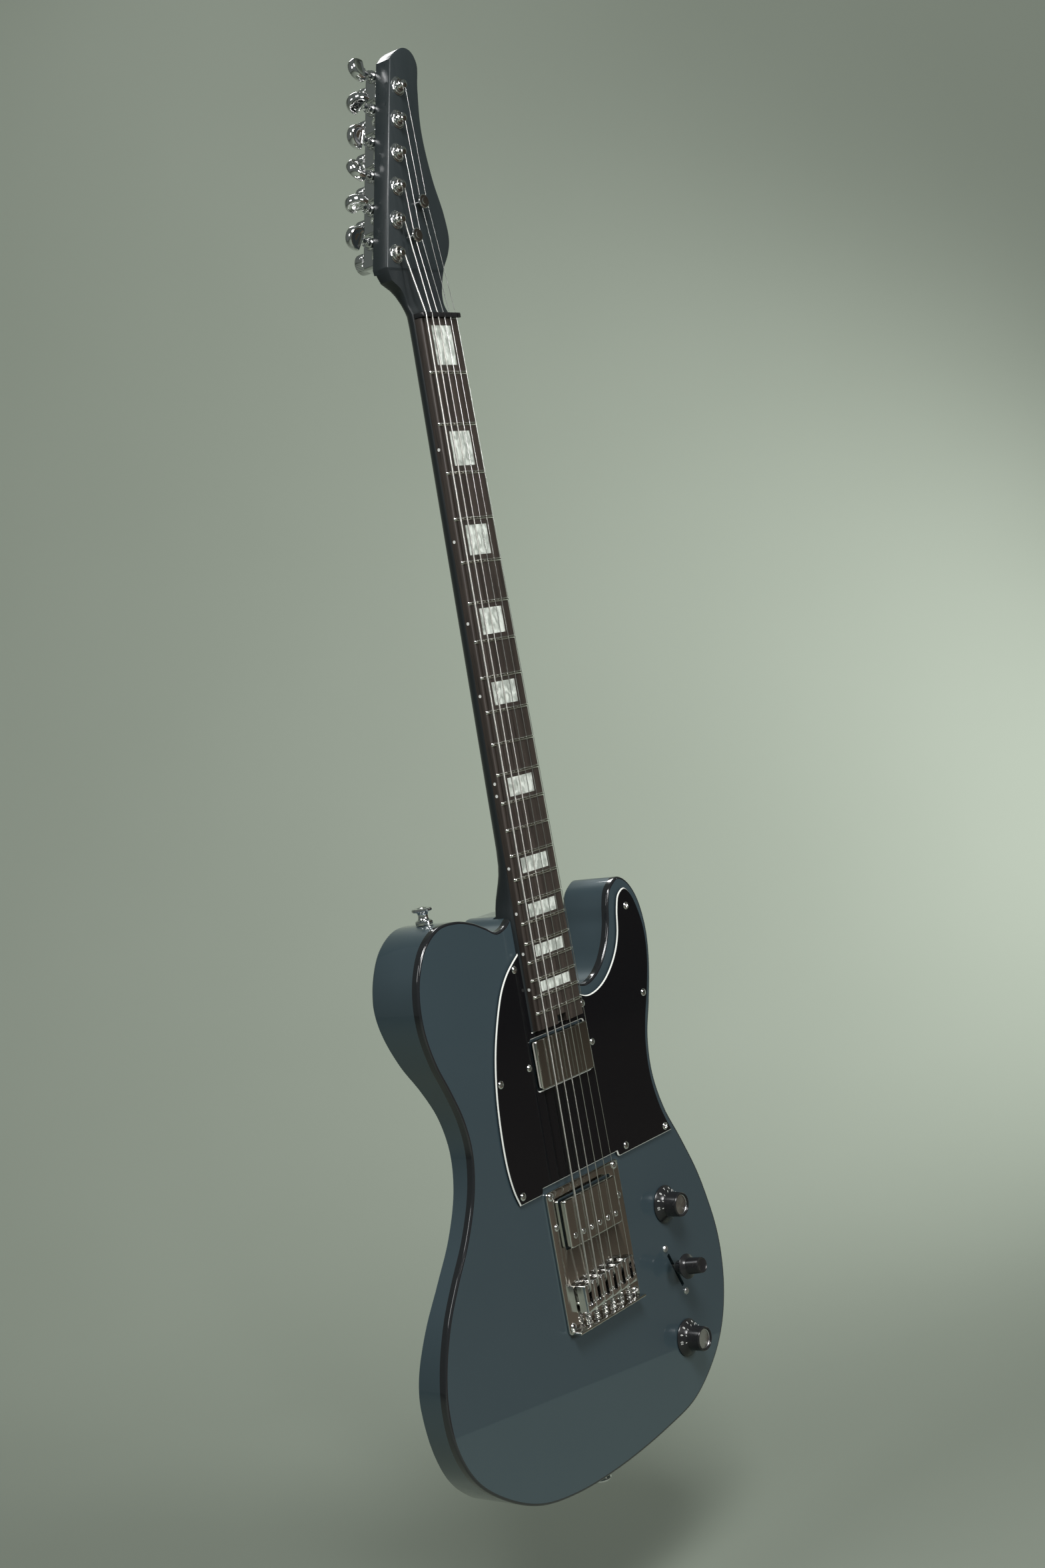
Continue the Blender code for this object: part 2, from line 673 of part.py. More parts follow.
def build_nut():
    """The nut with its string slots."""
    blank = box(-21.6, 21.6, -12.4, BOARD_BACK_Y, NUT_Z, NUT_Z + 3.6)
    notches = []
    for index, radius in enumerate(STRING_RADII):
        x = string_x(index, NUT_Z)
        half = radius + GAP
        notches.append(box(x - half, x + half, -14.0, nut_y(index) + half, NUT_Z - 2, NUT_Z + 6))
    add_part("nut", cut(blank, together(notches)), "black_plastic")


def build_truss_rod():
    """The rod inside the neck and the wheel that sets it, open to view at the board's end."""
    axis_y = 1.8
    add_part("truss_rod", rod(2.6, (0, axis_y, 352.5), (0, axis_y, 857), sides=8), "steel")
    wheel = rod(4.9, (0, axis_y, 341), (0, axis_y, 350), sides=20)
    spokes = []
    for step in range(5):
        angle = math.tau * step / 5
        x = 5.2 * math.cos(angle)
        y = axis_y + 5.2 * math.sin(angle)
        spokes.append(rod(1.0, (x, y, 343), (x, y, 348), sides=6))
    wheel = cut(wheel, together(spokes))
    add_part("truss_rod_wheel", wheel, "steel", origin=(0, axis_y, 345.5))


# Bridge

def build_bridge():
    """The bridge plate with its rear lip and the screws that it carries."""
    outline = rounded_rectangle(-PLATE_HALF, PLATE_HALF, PLATE_LOW_Z, PLATE_HIGH_Z, 3.0, steps=2)
    window = rounded_rectangle(-PICKUP_HALF_X - 0.8, PICKUP_HALF_X + 0.8, BRIDGE_PICKUP_Z - PICKUP_HALF_Z - 0.8,
                               BRIDGE_PICKUP_Z + PICKUP_HALF_Z + 0.8, 2.2, steps=2)
    base = plate([outline, window], -PLATE_THICK - GAP, -GAP)
    lip = box(-PLATE_HALF + 3, PLATE_HALF - 3, -10.0, -1.0, PLATE_LOW_Z + 0.1, PLATE_LOW_Z + 1.9)
    base = joined(base, lip)
    holes = [rod(1.7, (BRIDGE_PITCH * (index - 2.5), -4.5, STRING_HOLE_Z),
                 (BRIDGE_PITCH * (index - 2.5), 3, STRING_HOLE_Z), sides=8) for index in range(6)]
    base = cut(base, together(holes))
    top = -PLATE_THICK - GAP + SEAT
    screws = [screw((x, top, z), (0, 1, 0), 3.4, 1.6, 15.0, 1.8) for x, z in BRIDGE_SCREWS]
    screws += [screw((side * PICKUP_SCREW_X, top, BRIDGE_PICKUP_Z), (0, 1, 0), 2.9, 1.5, 20.0) for side in (-1, 1)]
    screws += [screw((BRIDGE_PITCH * (index - 2.5), -6.2, PLATE_LOW_Z + SEAT), (0, 0, 1), 2.3, 1.25, 18.0, 2.0)
               for index in range(6)]
    add_part("bridge_plate", joined(base, together(screws)), "chrome")


def saddle(index):
    """A block saddle with its string slot, screw bore and the feet of two height screws."""
    x = BRIDGE_PITCH * (index - 2.5)
    front = SADDLE_CONTACT_Z[index] + 2.0
    back = front - SADDLE_LONG
    half = SADDLE_WIDE / 2
    block = box(x - half, x + half, SADDLE_TOP_Y, -4.0, back, front)
    slot = box(x - 1.7, x + 1.7, -20, 0, front - 17.0, front - 3.2)
    bore = rod(1.6, (x, -6.2, back - 2), (x, -6.2, front - 12), sides=8)
    feet = [rod(1.1, (x + side * 3.5, -5.0, front - 14.0), (x + side * 3.5, -PLATE_THICK - 2 * GAP, front - 14.0),
                sides=8) for side in (-1, 1)]
    return joined(cut(block, slot, bore), together(feet))


def spring_points(index):
    """Centre line of the spring on a saddle's screw, with straight ends, and its least gap."""
    x = BRIDGE_PITCH * (index - 2.5)
    low = PLATE_LOW_Z + 2.4
    high = SADDLE_CONTACT_Z[index] + 2.0 - SADDLE_LONG - 0.6
    coil_radius = 2.2
    curls = SPRING_CURLS
    per_curl = 8
    points = [(x + coil_radius, -6.2, low)]
    lift = 0.7
    for step in range(curls * per_curl + 1):
        angle = math.tau * step / per_curl
        z = low + lift + (high - low - 2 * lift) * step / (curls * per_curl)
        points.append((x + coil_radius * math.cos(angle), -6.2 + coil_radius * math.sin(angle), z))
    points.append((x + coil_radius, -6.2, high))
    return points


def build_saddles():
    """Saddles and the springs that hold them back."""
    wire = 0.3
    for index in range(6):
        x = BRIDGE_PITCH * (index - 2.5)
        origin = (x, -6.2, SADDLE_CONTACT_Z[index])
        add_part(f"saddle_{index + 1}", saddle(index), "chrome", origin=origin)
        points = spring_points(index)
        add_part(f"saddle_spring_{index + 1}", tube(points, wire), "steel")
        pitch = (points[-2][2] - points[1][2]) / SPRING_CURLS
        print("spring", index + 1, "least gap mm", round(pitch - 2 * wire, 2))


# Pickups

def pickup(z, top_y):
    """A covered pickup with the ears of its base plate."""
    outline = rounded_rectangle(-PICKUP_HALF_X, PICKUP_HALF_X, z - PICKUP_HALF_Z, z + PICKUP_HALF_Z, 2.5, steps=2)
    cover = plate([outline], top_y, 13.0, edge=1.2)
    ears = box(-43, 43, 11.0, 12.8, z - 6, z + 6)
    shell = joined(cover, ears)
    holes = [rod(2.2, (side * PICKUP_SCREW_X, 8, z), (side * PICKUP_SCREW_X, 16, z), sides=8) for side in (-1, 1)]
    return cut(shell, together(holes))


def build_pickups():
    """The two pickups."""
    add_part("neck_pickup", pickup(NECK_PICKUP_Z, -6.5), "nickel", origin=(0, 0, NECK_PICKUP_Z))
    add_part("bridge_pickup", pickup(BRIDGE_PICKUP_Z, -7.5), "nickel", origin=(0, 0, BRIDGE_PICKUP_Z))


# Controls

def build_knob(name, place):
    """A skirted knob with its shaft."""
    profile = ((0.0, 15.4), (7.6, 15.4), (8.2, 17.0), (9.0, 17.0), (9.4, 16.2), (9.8, 6.2),
               (11.6, 4.4), (14.7, 1.0), (14.7, 0.6), (3.0, 0.6), (3.0, -11.0), (0.0, -11.0))
    add_part(name, turned(profile, (place[0], 0, place[1]), (0, -1, 0), sides=24), "black_plastic",
             origin=(place[0], 0, place[1]))


def build_pots():
    """Rotary controls under the top, with bushes round the knobs' shafts."""
    profile = ((0.0, -13.0), (3.4, -13.0), (3.4, 0.2), (4.2, 0.2), (4.2, -8.6), (12.0, -8.6),
               (12.0, -19.0), (0.0, -19.0))
    for name, (x, z) in (("volume_pot", VOLUME_AXIS), ("tone_pot", TONE_AXIS)):
        add_part(name, turned(profile, (x, 0, z), (0, -1, 0), sides=12), "steel")


def build_switch():
    """The three-way blade switch: frame, lever, tip and screws."""
    matrix = switch_frame_matrix()
    frame = box(-7, 7, CAVITY_ROOF_Y + GAP, 24, -24, 24)
    room = box(-3.2, 3.2, 0, 22, -19, 19)
    screws = [screw((0, -GAP, side * 22), (0, 1, 0), 2.9, 1.4, 12.0, 1.3) for side in (-1, 1)]
    frame = joined(cut(frame, room), together(screws))
    add_part("switch_frame", moved(frame, matrix), "steel")
    pivot = Matrix.Translation((0, SWITCH_PIVOT_Y * MM, 0))
    tilt = Matrix.Rotation(-SWITCH_TILT, 4, "X")
    place = matrix @ pivot @ tilt @ pivot.inverted()
    blade = joined(box(-0.6, 0.6, -15, SWITCH_PIVOT_Y, -2.6, 2.6), rod(3.0, (-1.2, SWITCH_PIVOT_Y, 0), (1.2, SWITCH_PIVOT_Y, 0)))
    hub = (SWITCH_CENTRE[0], SWITCH_PIVOT_Y, SWITCH_CENTRE[1])
    add_part("switch_lever", moved(blade, place), "steel", origin=hub)
    profile = ((0.0, 29.0), (5.6, 29.0), (6.1, 28.4), (6.5, 16.2), (9.6, 14.2), (9.9, 13.0), (5.6, 10.4), (5.4, 4.9),
               (0.0, 4.9))
    tip = turned(profile, (0, 0, 0), (0, -1, 0), sides=16)
    tip = cut(tip, box(-0.95, 0.95, -15.4, 0, -2.95, 2.95))
    add_part("switch_tip", moved(tip, place), "black_plastic", origin=hub)


def build_jack():
    """The socket for a lead in the treble side, on a round plate with its screws."""
    disc = rod(15.0, (161.2, 24, JACK_Z), (163.4, 24, JACK_Z), sides=20)
    disc = cut(disc, rod(6.4, (158, 24, JACK_Z), (168, 24, JACK_Z), sides=16))
    screws = [screw((163.4 - SEAT, y, z), (-1, 0, 0), 2.6, 1.2, 10.0, 1.0) for y, z in JACK_SCREWS]
    add_part("jack_plate", joined(disc, together(screws)), "chrome")
    socket = rod(6.0, (134, 24, JACK_Z), (164.6, 24, JACK_Z), sides=16)
    socket = cut(socket, rod(3.4, (138, 24, JACK_Z), (170, 24, JACK_Z), sides=12))
    add_part("output_jack", socket, "chrome")


def build_strap_buttons():
    """The buttons for a strap, on the shoulder and at the tail."""
    profile = ((0.0, 13.0), (6.6, 13.0), (7.8, 12.0), (7.4, 10.4), (4.2, 8.4), (3.8, 3.0), (6.4, 0.4), (6.4, 0.0),
               (1.6, 0.0), (1.6, -18.0), (0.0, -19.5))
    x, y, z = STRAP_TOP
    top = turned(profile, (x, y, z + GAP), (0, 0, 1), sides=12)
    x, y, z = STRAP_BOTTOM
    bottom = turned(profile, (x, y, z - GAP), (0, 0, -1), sides=12)
    add_part("strap_button_top", top, "chrome")
    add_part("strap_button_bottom", bottom, "chrome")


# Tuners

def tuner_matrix(place):
    """Frame of one tuner: local +X points out to the button and local +Z up the row."""
    outward = Vector((OUTWARD[0], 0.0, OUTWARD[1])).normalized()
    depth = Vector((0.0, 1.0, 0.0))
    up = outward.cross(depth)
    if up.z < 0:
        up = -up
    turn = Matrix((outward, depth, up)).transposed().to_4x4()
    return Matrix.Translation(Vector((place[0], 0.0, place[1])) * MM) @ turn


def tuner_button(turn_degrees):
    """A D-shaped thumb button on its shaft, made in the tuner's own frame."""
    outline = []
    for step in range(9):
        angle = math.radians(-90 + 180 * step / 8)
        outline.append((19.0 + 11.6 * math.cos(angle), 8.6 * math.sin(angle)))
    outline += [(18.2, 8.0), (18.2, -8.0)]
    knob = plate([outline], -2.9, 2.9, edge=1.4, edge_steps=0)
    shaft = rod(2.2, (2.2, 0, 0), (18.8, 0, 0), sides=10)
    collar = rod(3.6, (8.6, 0, 0), (12.0, 0, 0), sides=10)
    button = moved(joined(knob, shaft, collar), Matrix.Rotation(math.radians(turn_degrees), 4, "X"))
    return moved(button, Matrix.Translation((0, WORM_Y * MM, WORM_OFFSET * MM)))


def tuner_housings():
    """The gear cases on the back of the headstock."""
    outline = rounded_rectangle(-7.5, 7.5, -8.4, 14.6, 3.1, steps=2)
    case = plate([outline], HEAD_BACK_Y - 2.5, 27.3)
    return [moved(case, tuner_matrix(place)) for place in post_places()]


def tuner_washers():
    """The round nuts on the headstock's face, one round each post."""
    profile = ((0.0, 2.2), (4.4, 2.2), (6.8, GAP), (6.8, -1.0), (0.0, -1.0))
    return [turned(profile, (x, HEAD_FACE_Y, z), (0, -1, 0), sides=12) for x, z in post_places()]


def build_tuners():
    """Six tuners' moving pieces: posts, thumb buttons and lock wheels."""
    post_profile = ((0.0, 7.0), (2.7, 7.0), (3.1, 6.4), (2.6, 4.4), (2.6, 3.2), (POST_RADIUS, 2.6),
                    (POST_RADIUS, -25.4), (0.0, -25.4))
    wheel_profile = ((0.0, 9.0), (6.4, 9.0), (7.5, 8.0), (7.5, 1.6), (6.8, 0.8), (0.0, 0.8))
    for index, place in enumerate(post_places()):
        matrix = tuner_matrix(place)
        face = (place[0], HEAD_FACE_Y, place[1])
        number = index + 1
        add_part(f"string_post_{number}", turned(post_profile, face, (0, -1, 0), sides=12), "chrome",
                 origin=(place[0], 0, place[1]))
        axis_point = matrix @ (Vector((0, WORM_Y, WORM_OFFSET)) * MM) / MM
        button = moved(tuner_button(BUTTON_TURNS[index]), matrix)
        add_part(f"tuner_button_{number}", button, "chrome", origin=axis_point)
        wheel = turned(wheel_profile, (place[0], 27.3, place[1]), (0, 1, 0), sides=16)
        add_part(f"lock_wheel_{number}", wheel, "chrome", origin=(place[0], 27.3, place[1]))


def string_trees():
    """Two guides that hold the thin strings down behind the nut."""
    trees = []
    for x, z in TREE_PLACES:
        trees.append(rod(1.1, (x, 8, z), (x, -5.4, z), sides=8))
        trees.append(rod(1.7, (x - 5.4, -6.6, z), (x + 5.4, -6.6, z), sides=8))
    return trees


# Strings

def nut_y(index):
    """Depth of a string's centre line over the nut."""
    return -11.0 - STRING_RADII[index]


def saddle_y(index):
    """Depth of a string's centre line over its saddle."""
    return SADDLE_TOP_Y - GAP - STRING_RADII[index]


def string_path(index):
    """A string from its ball end through the body, over saddle and nut, to its post."""
    radius = STRING_RADII[index]
    x_bridge = BRIDGE_PITCH * (index - 2.5)
    x_nut = string_x(index, NUT_Z)
    contact = SADDLE_CONTACT_Z[index]
    points = [(x_bridge, 43.0, STRING_HOLE_Z), (x_bridge, -3.0, STRING_HOLE_Z),
              (x_bridge, saddle_y(index) + 3.6, contact - 4.4), (x_bridge, saddle_y(index), contact - 1.9),
              (x_nut, nut_y(index), NUT_Z + 0.5), (x_nut, nut_y(index), NUT_Z + 3.0)]
    post_x, post_z = post_places()[index]
    wrap = POST_RADIUS + GAP + radius + 0.1
    wind_y = HEAD_FACE_Y - 4.0
    near = Vector((post_x - x_nut, post_z - NUT_Z)).normalized()
    side = Vector((near.y, -near.x))
    start = Vector((post_x, post_z)) + side * wrap
    for tree, pair in zip(TREE_PLACES, ((4, 5), (2, 3))):
        if index in pair:
            share = (tree[1] - NUT_Z) / (start.y - NUT_Z)
            points.append((x_nut + (start.x - x_nut) * share, -3.4, tree[1]))
    points.append((start.x, wind_y, start.y))
    base = math.atan2(side.y, side.x)
    for step in range(1, 6):
        angle = base + math.radians(38.0) * step
        points.append((post_x + wrap * math.cos(angle), wind_y, post_z + wrap * math.sin(angle)))
    return points


def build_strings():
    """The six strings, plain and wound ones alike."""
    for index, radius in enumerate(STRING_RADII):
        add_part(f"string_{index + 1}", tube(string_path(index), radius), "steel")


def main():
    """Build every piece of the guitar."""
    clear_scene()
    build_body()
    build_guard()
    build_rear_cover()
    build_neck()
    build_board()
    build_nut()
    build_truss_rod()
    build_bridge()
    build_saddles()
    build_pickups()
    build_knob("volume_knob", VOLUME_AXIS)
    build_knob("tone_knob", TONE_AXIS)
    build_pots()
    build_switch()
    build_jack()
    build_strap_buttons()
    build_tuners()
    build_strings()


main()
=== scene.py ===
"""Looks of a baritone electric guitar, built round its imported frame.

World: +Z up along the neck, -Y the playing side, +X the treble side. Sizes are in millimetres
and become metres in the mesh makers.
"""
import logging
import math
from dataclasses import dataclass
from enum import Enum

import bmesh
import bpy
import numpy as np
from mathutils import Matrix, Vector


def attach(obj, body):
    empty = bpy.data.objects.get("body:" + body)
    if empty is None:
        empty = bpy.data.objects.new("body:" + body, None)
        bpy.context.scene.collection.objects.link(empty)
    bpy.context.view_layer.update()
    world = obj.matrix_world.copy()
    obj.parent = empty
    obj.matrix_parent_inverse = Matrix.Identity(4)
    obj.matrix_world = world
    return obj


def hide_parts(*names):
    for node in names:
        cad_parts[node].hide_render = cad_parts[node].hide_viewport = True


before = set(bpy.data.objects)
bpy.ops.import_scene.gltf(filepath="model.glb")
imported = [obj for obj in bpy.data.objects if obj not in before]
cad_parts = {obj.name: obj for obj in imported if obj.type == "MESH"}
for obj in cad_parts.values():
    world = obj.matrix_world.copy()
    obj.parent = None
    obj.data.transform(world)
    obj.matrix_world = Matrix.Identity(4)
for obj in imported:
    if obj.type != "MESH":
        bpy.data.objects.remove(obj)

LOG = logging.getLogger("baritone_guitar")
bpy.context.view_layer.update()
MM = 0.001
ROOT = "guitar"
Points = list[tuple[float, float]]

SCALE_LENGTH = 711.2
NUT_Z = 864.0
FRET_COUNT = 22
NUT_HALF = 21.0
BOARD_END_Z = 339.7
BOARD_END_HALF = 28.2
BOARD_TOP_Y = -9.5
BOARD_RADIUS = 305.0
BOARD_BACK_Y = -3.15
BODY_THICK = 45.0
HEEL_HALF = 28.4
POCKET_FLOOR_Y = 16.0
HEAD_FACE_Y = 1.5
HEAD_BACK_Y = 16.0
BRIDGE_PITCH = 10.6
NUT_PITCH = 7.0
SADDLE_TOP_Y = -12.0
SADDLE_CONTACT_Z = (146.0, 146.8, 147.4, 147.6, 148.2, 149.0)
STRING_HOLE_Z = 138.0
STRING_RADII = (0.79, 0.60, 0.47, 0.33, 0.25, 0.20)
WOUND_STRINGS = 3
PLATE_HALF = 45.3
PLATE_LOW_Z = 114.5
PLATE_HIGH_Z = 222.0
NECK_PICKUP_Z = 314.8
BRIDGE_PICKUP_Z = 194.7
PICKUP_HALF_X = 32.6
PICKUP_HALF_Z = 18.5
PICKUP_SCREW_X = 39.5
ROW_START = (12.1, 1036.3)
ROW_STEP = (-7.0, -24.8)
OUTWARD = (-0.960, 0.279)
WORM_OFFSET = 10.0
WORM_Y = 20.5
BUTTON_TURNS = (20.0, 75.0, -30.0, 10.0, 60.0, -15.0)
POST_RADIUS = 3.1
TREE_PLACES = ((11.4, 950.7), (-2.6, 925.4))
VOLUME_AXIS = (98.2, 168.9)
TONE_AXIS = (98.3, 60.4)
SWITCH_CENTRE = (98.0, 115.4)
SWITCH_DIRECTION = (-0.405, 0.914)
SWITCH_TILT = math.radians(9.0)
SWITCH_PIVOT_Y = 16.0
JACK_Z = 100.0
STRAP_TOP = (-97.0, 22.0, 435.9)
STRAP_BOTTOM = (-10.0, 22.0, -0.3)
MARKED_FRETS = (1, 3, 5, 7, 9, 12, 15, 17, 19, 21)

BODY_POINTS: Points = [
    (55, 4), (97.4, 11.6), (131.5, 33.1), (149.5, 55), (160, 81), (164, 107.8), (163, 131),
    (158.4, 152.9), (149.9, 180.8), (135.2, 212.5), (120.2, 241.8), (112.9, 271.8),
    (115.2, 300.1), (124.9, 326.6), (133.4, 354), (136.9, 376.9), (135.8, 394.2),
    (131.7, 409.3), (124.7, 420.6), (116.7, 427.1), (109.5, 429.2), (102.5, 426.4),
    (95.7, 421), (91.2, 411), (87.3, 395.9), (80.6, 381.6), (70.3, 368.9), (58.5, 361.2),
    (47.1, 358.6), (37.6, 361.4), (31.4, 368), (30, 380), (30, 411), (26.5, 421),
    (14, 424.7), (-14, 425.4), (-27, 425.5), (-36, 420.2), (-46, 418.2), (-57, 423.8),
    (-71.2, 430.4), (-88, 434.8), (-108.5, 434.4), (-126, 424), (-137, 407), (-142.2, 388),
    (-142.4, 366), (-136.5, 342), (-127.3, 321.3), (-118.6, 298.2), (-115.6, 274),
    (-121, 247), (-136.1, 216.5), (-153.6, 192.3), (-168.5, 169), (-180.3, 141.1),
    (-185.7, 115), (-183.4, 84), (-169.9, 55.5), (-142.8, 31), (-107.2, 11.8),
    (-65, 2.6), (-10, 0),
]
BELLY_EDGE = (
    (-146, 410, 47), (-142, 380, 43), (-139.8, 352, 38), (-127, 322, 30), (-118, 299, 23),
    (-115.6, 274, 20), (-122, 245, 18), (-136, 217, 17.5), (-154, 193, 18),
    (-168, 172, 20.5), (-180, 142, 24), (-185.7, 117, 24.7), (-184, 85, 23.5),
    (-172, 57, 27), (-150, 30, 37), (-135, 5, 48),
)
GUARD_LEFT: Points = [
    (-28.9, 398.5), (-37.5, 393), (-46, 386.4), (-54.6, 376.6), (-62.3, 362.9), (-72.8, 337),
    (-79.7, 308), (-82.8, 275), (-82.3, 249.5), (-79.2, 233), (-75.1, 222.3),
]
GUARD_BOTTOM: Points = [(-49.7, 222.3), (-48, 223.5), (-47.2, 226.5), (47.2, 226.5), (48, 223.5), (49.7, 222.3)]
GUARD_RIGHT: Points = [
    (122, 222.3), (112.6, 243), (106.7, 268), (107.2, 294), (113, 316), (121.5, 337),
    (129, 362), (130.6, 382), (127.6, 398), (120.5, 414), (113.2, 419.7), (104.2, 415.8),
    (99.4, 405.4), (94.6, 386), (86.4, 371.8), (72, 358.3), (58, 351.6), (44, 350),
    (34.2, 353.6), (28.9, 357),
]
GUARD_END: Points = [(28.9, 339.2), (-28.9, 339.2)]
GUARD_SCREWS = (
    (-36.7, 387.8), (-74.2, 311.9), (111.3, 405.6), (114.7, 335.3),
    (35.3, 345.5), (112.9, 227.8), (59, 228), (-71.5, 228.3),
)
HEAD_TIP: Points = [(8.9, 1056.1)]
HEAD_LEFT: Points = [(-35.5, 903.1), (-33, 893), (-24, 886.5), (-20.8, 876)]
HEAD_RIGHT: Points = [
    (20.8, 876), (22.5, 887), (28, 901), (38, 915.5), (41.8, 926), (40.6, 944.8), (34.5, 970),
    (31.2, 1005), (35.5, 1037), (39.4, 1055.3), (35, 1064), (27.5, 1066.3), (17, 1062.5),
    (8.9, 1056.1),
]
COVER_SCREWS = ((86, 39.8), (110, 39.8), (76, 115), (120, 115), (86, 190.2), (110, 190.2))
NECK_SCREWS = ((-18, 358), (18, 358), (-18, 404), (18, 404))
BRIDGE_SCREWS = ((-40.3, 218.2), (40.3, 218.2), (-40.3, 119.5), (40.3, 119.5))


# Shader maths

class Value:
    """A shader socket that takes part in Python arithmetic."""

    def __init__(self, tree: bpy.types.NodeTree, link: bpy.types.NodeSocket) -> None:
        """Wrap one output socket of a node tree."""
        self.tree = tree
        self.link = link

    def _math(self, operation: str, *values: "Value | float") -> "Value":
        """Add a Math node.

        Args:
            operation: the Math node's operation.
            values: sockets or numbers for its inputs.

        Returns:
            The node's result.
        """
        node = self.tree.nodes.new("ShaderNodeMath")
        node.operation = operation
        for socket, value in zip(node.inputs, values):
            if isinstance(value, Value):
                self.tree.links.new(value.link, socket)
            else:
                socket.default_value = value
        return Value(self.tree, node.outputs[0])

    def __add__(self, other: "Value | float") -> "Value":
        """Sum."""
        return self._math("ADD", self, other)

    __radd__ = __add__

    def __sub__(self, other: "Value | float") -> "Value":
        """Difference."""
        return self._math("SUBTRACT", self, other)

    def __rsub__(self, other: "Value | float") -> "Value":
        """Difference, from the left."""
        return self._math("SUBTRACT", other, self)

    def __mul__(self, other: "Value | float") -> "Value":
        """Product."""
        return self._math("MULTIPLY", self, other)

    __rmul__ = __mul__

    def above(self, limit: float) -> "Value":
        """One where the value is greater than the limit."""
        return self._math("GREATER_THAN", self, limit)

    def wave(self) -> "Value":
        """Sine of the value."""
        return self._math("SINE", self)

    def size(self) -> "Value":
        """Absolute value."""
        return self._math("ABSOLUTE", self)


class Shader:
    """A material under construction."""

    def __init__(self, name: str) -> None:
        """Start a material with one Principled BSDF."""
        self.material = bpy.data.materials.new(name)
        self.material.use_nodes = True
        self.tree = self.material.node_tree
        self.surface = self.tree.nodes["Principled BSDF"]
        self.places = self.add("ShaderNodeTexCoord").outputs["Object"]

    def add(self, kind: str, settings: dict | None = None, **inputs: object) -> bpy.types.Node:
        """Add a node.

        Args:
            kind: the node's type.
            settings: properties that are set first.
            inputs: values or links for sockets, by name with spaces as underscores.

        Returns:
            The node.
        """
        node = self.tree.nodes.new(kind)
        for key, value in (settings or {}).items():
            setattr(node, key, value)
        for key, value in inputs.items():
            self.put(node.inputs[key.replace("_", " ")], value)
        return node

    def put(self, socket: bpy.types.NodeSocket, value: object) -> None:
        """Give a socket a number, a colour or a link."""
        if isinstance(value, Value):
            self.tree.links.new(value.link, socket)
        elif isinstance(value, bpy.types.NodeSocket):
            self.tree.links.new(value, socket)
        else:
            socket.default_value = value

    def set(self, **inputs: object) -> None:
        """Set the surface's own sockets, by name with spaces as underscores."""
        for key, value in inputs.items():
            self.put(self.surface.inputs[key.replace("_", " ")], value)

    def noise(self, scale: float, detail: float = 4.0, stretch: tuple[float, float, float] = (1, 1, 1)) -> Value:
        """A noise pattern in object space.

        Args:
            scale: waves per metre.
            detail: octaves.
            stretch: how the space is scaled along each axis first.

        Returns:
            The pattern, about 0 to 1.
        """
        mapping = self.add("ShaderNodeMapping", Vector=self.places, Scale=stretch)
        node = self.add("ShaderNodeTexNoise", Vector=mapping.outputs[0], Scale=scale, Detail=detail)
        return Value(self.tree, node.outputs["Fac"])

    def axis(self, name: str) -> Value:
        """One coordinate of the place in metres: X, Y or Z."""
        split = self.add("ShaderNodeSeparateXYZ", Vector=self.places)
        return Value(self.tree, split.outputs[name])

    def mix(self, factor: "Value | float", low: tuple, high: tuple) -> bpy.types.NodeSocket:
        """Blend two colours.

        Args:
            factor: 0 for the first, 1 for the second.
            low: first colour or link.
            high: second colour or link.

        Returns:
            The blended colour's socket.
        """
        node = self.tree.nodes.new("ShaderNodeMix")
        node.data_type = "RGBA"
        self.put(node.inputs["Factor"], factor)
        for socket, value in ((node.inputs[6], low), (node.inputs[7], high)):
            self.put(socket, (*value, 1.0) if isinstance(value, tuple) else value)
        return node.outputs[2]

    def bump(self, height: Value, depth: float, strength: float = 1.0) -> None:
        """Raise the surface by a pattern, with its depth in millimetres."""
        node = self.add("ShaderNodeBump", Height=height, Strength=strength, Distance=depth * MM)
        self.tree.links.new(node.outputs[0], self.surface.inputs["Normal"])


class Sheen(Enum):
    """How a finish answers light."""

    GLOSS = "gloss"
    SATIN = "satin"
    METAL = "metal"


@dataclass(frozen=True)
class Finish:
    """One plain finish: a colour, a roughness that varies a little, and fine relief."""

    name: str
    colour: tuple[float, float, float]
    roughness: float
    sheen: Sheen = Sheen.SATIN
    variation: float = 0.15
    grain: float = 400.0
    relief: float = 0.0
    stretch: tuple[float, float, float] = (1, 1, 1)
    coat: float = 0.0

    def make(self) -> bpy.types.Material:
        """Build the material."""
        shader = Shader(self.name)
        pattern = shader.noise(self.grain, 5.0, self.stretch)
        broad = shader.noise(self.grain * 0.07, 2.0, self.stretch)
        dark = tuple(channel * (1 - self.variation) for channel in self.colour)
        light = tuple(min(1.0, channel * (1 + self.variation)) for channel in self.colour)
        shader.set(Base_Color=shader.mix(pattern * 0.5 + broad * 0.5, dark, light))
        shader.set(Metallic=1.0 if self.sheen is Sheen.METAL else 0.0)
        shader.set(Roughness=(pattern - 0.5) * (self.roughness * 0.5) + self.roughness)
        if self.coat:
            shader.set(Coat_Weight=self.coat, Coat_Roughness=0.03)
        if self.relief:
            shader.bump(pattern, self.relief)
        return shader.material


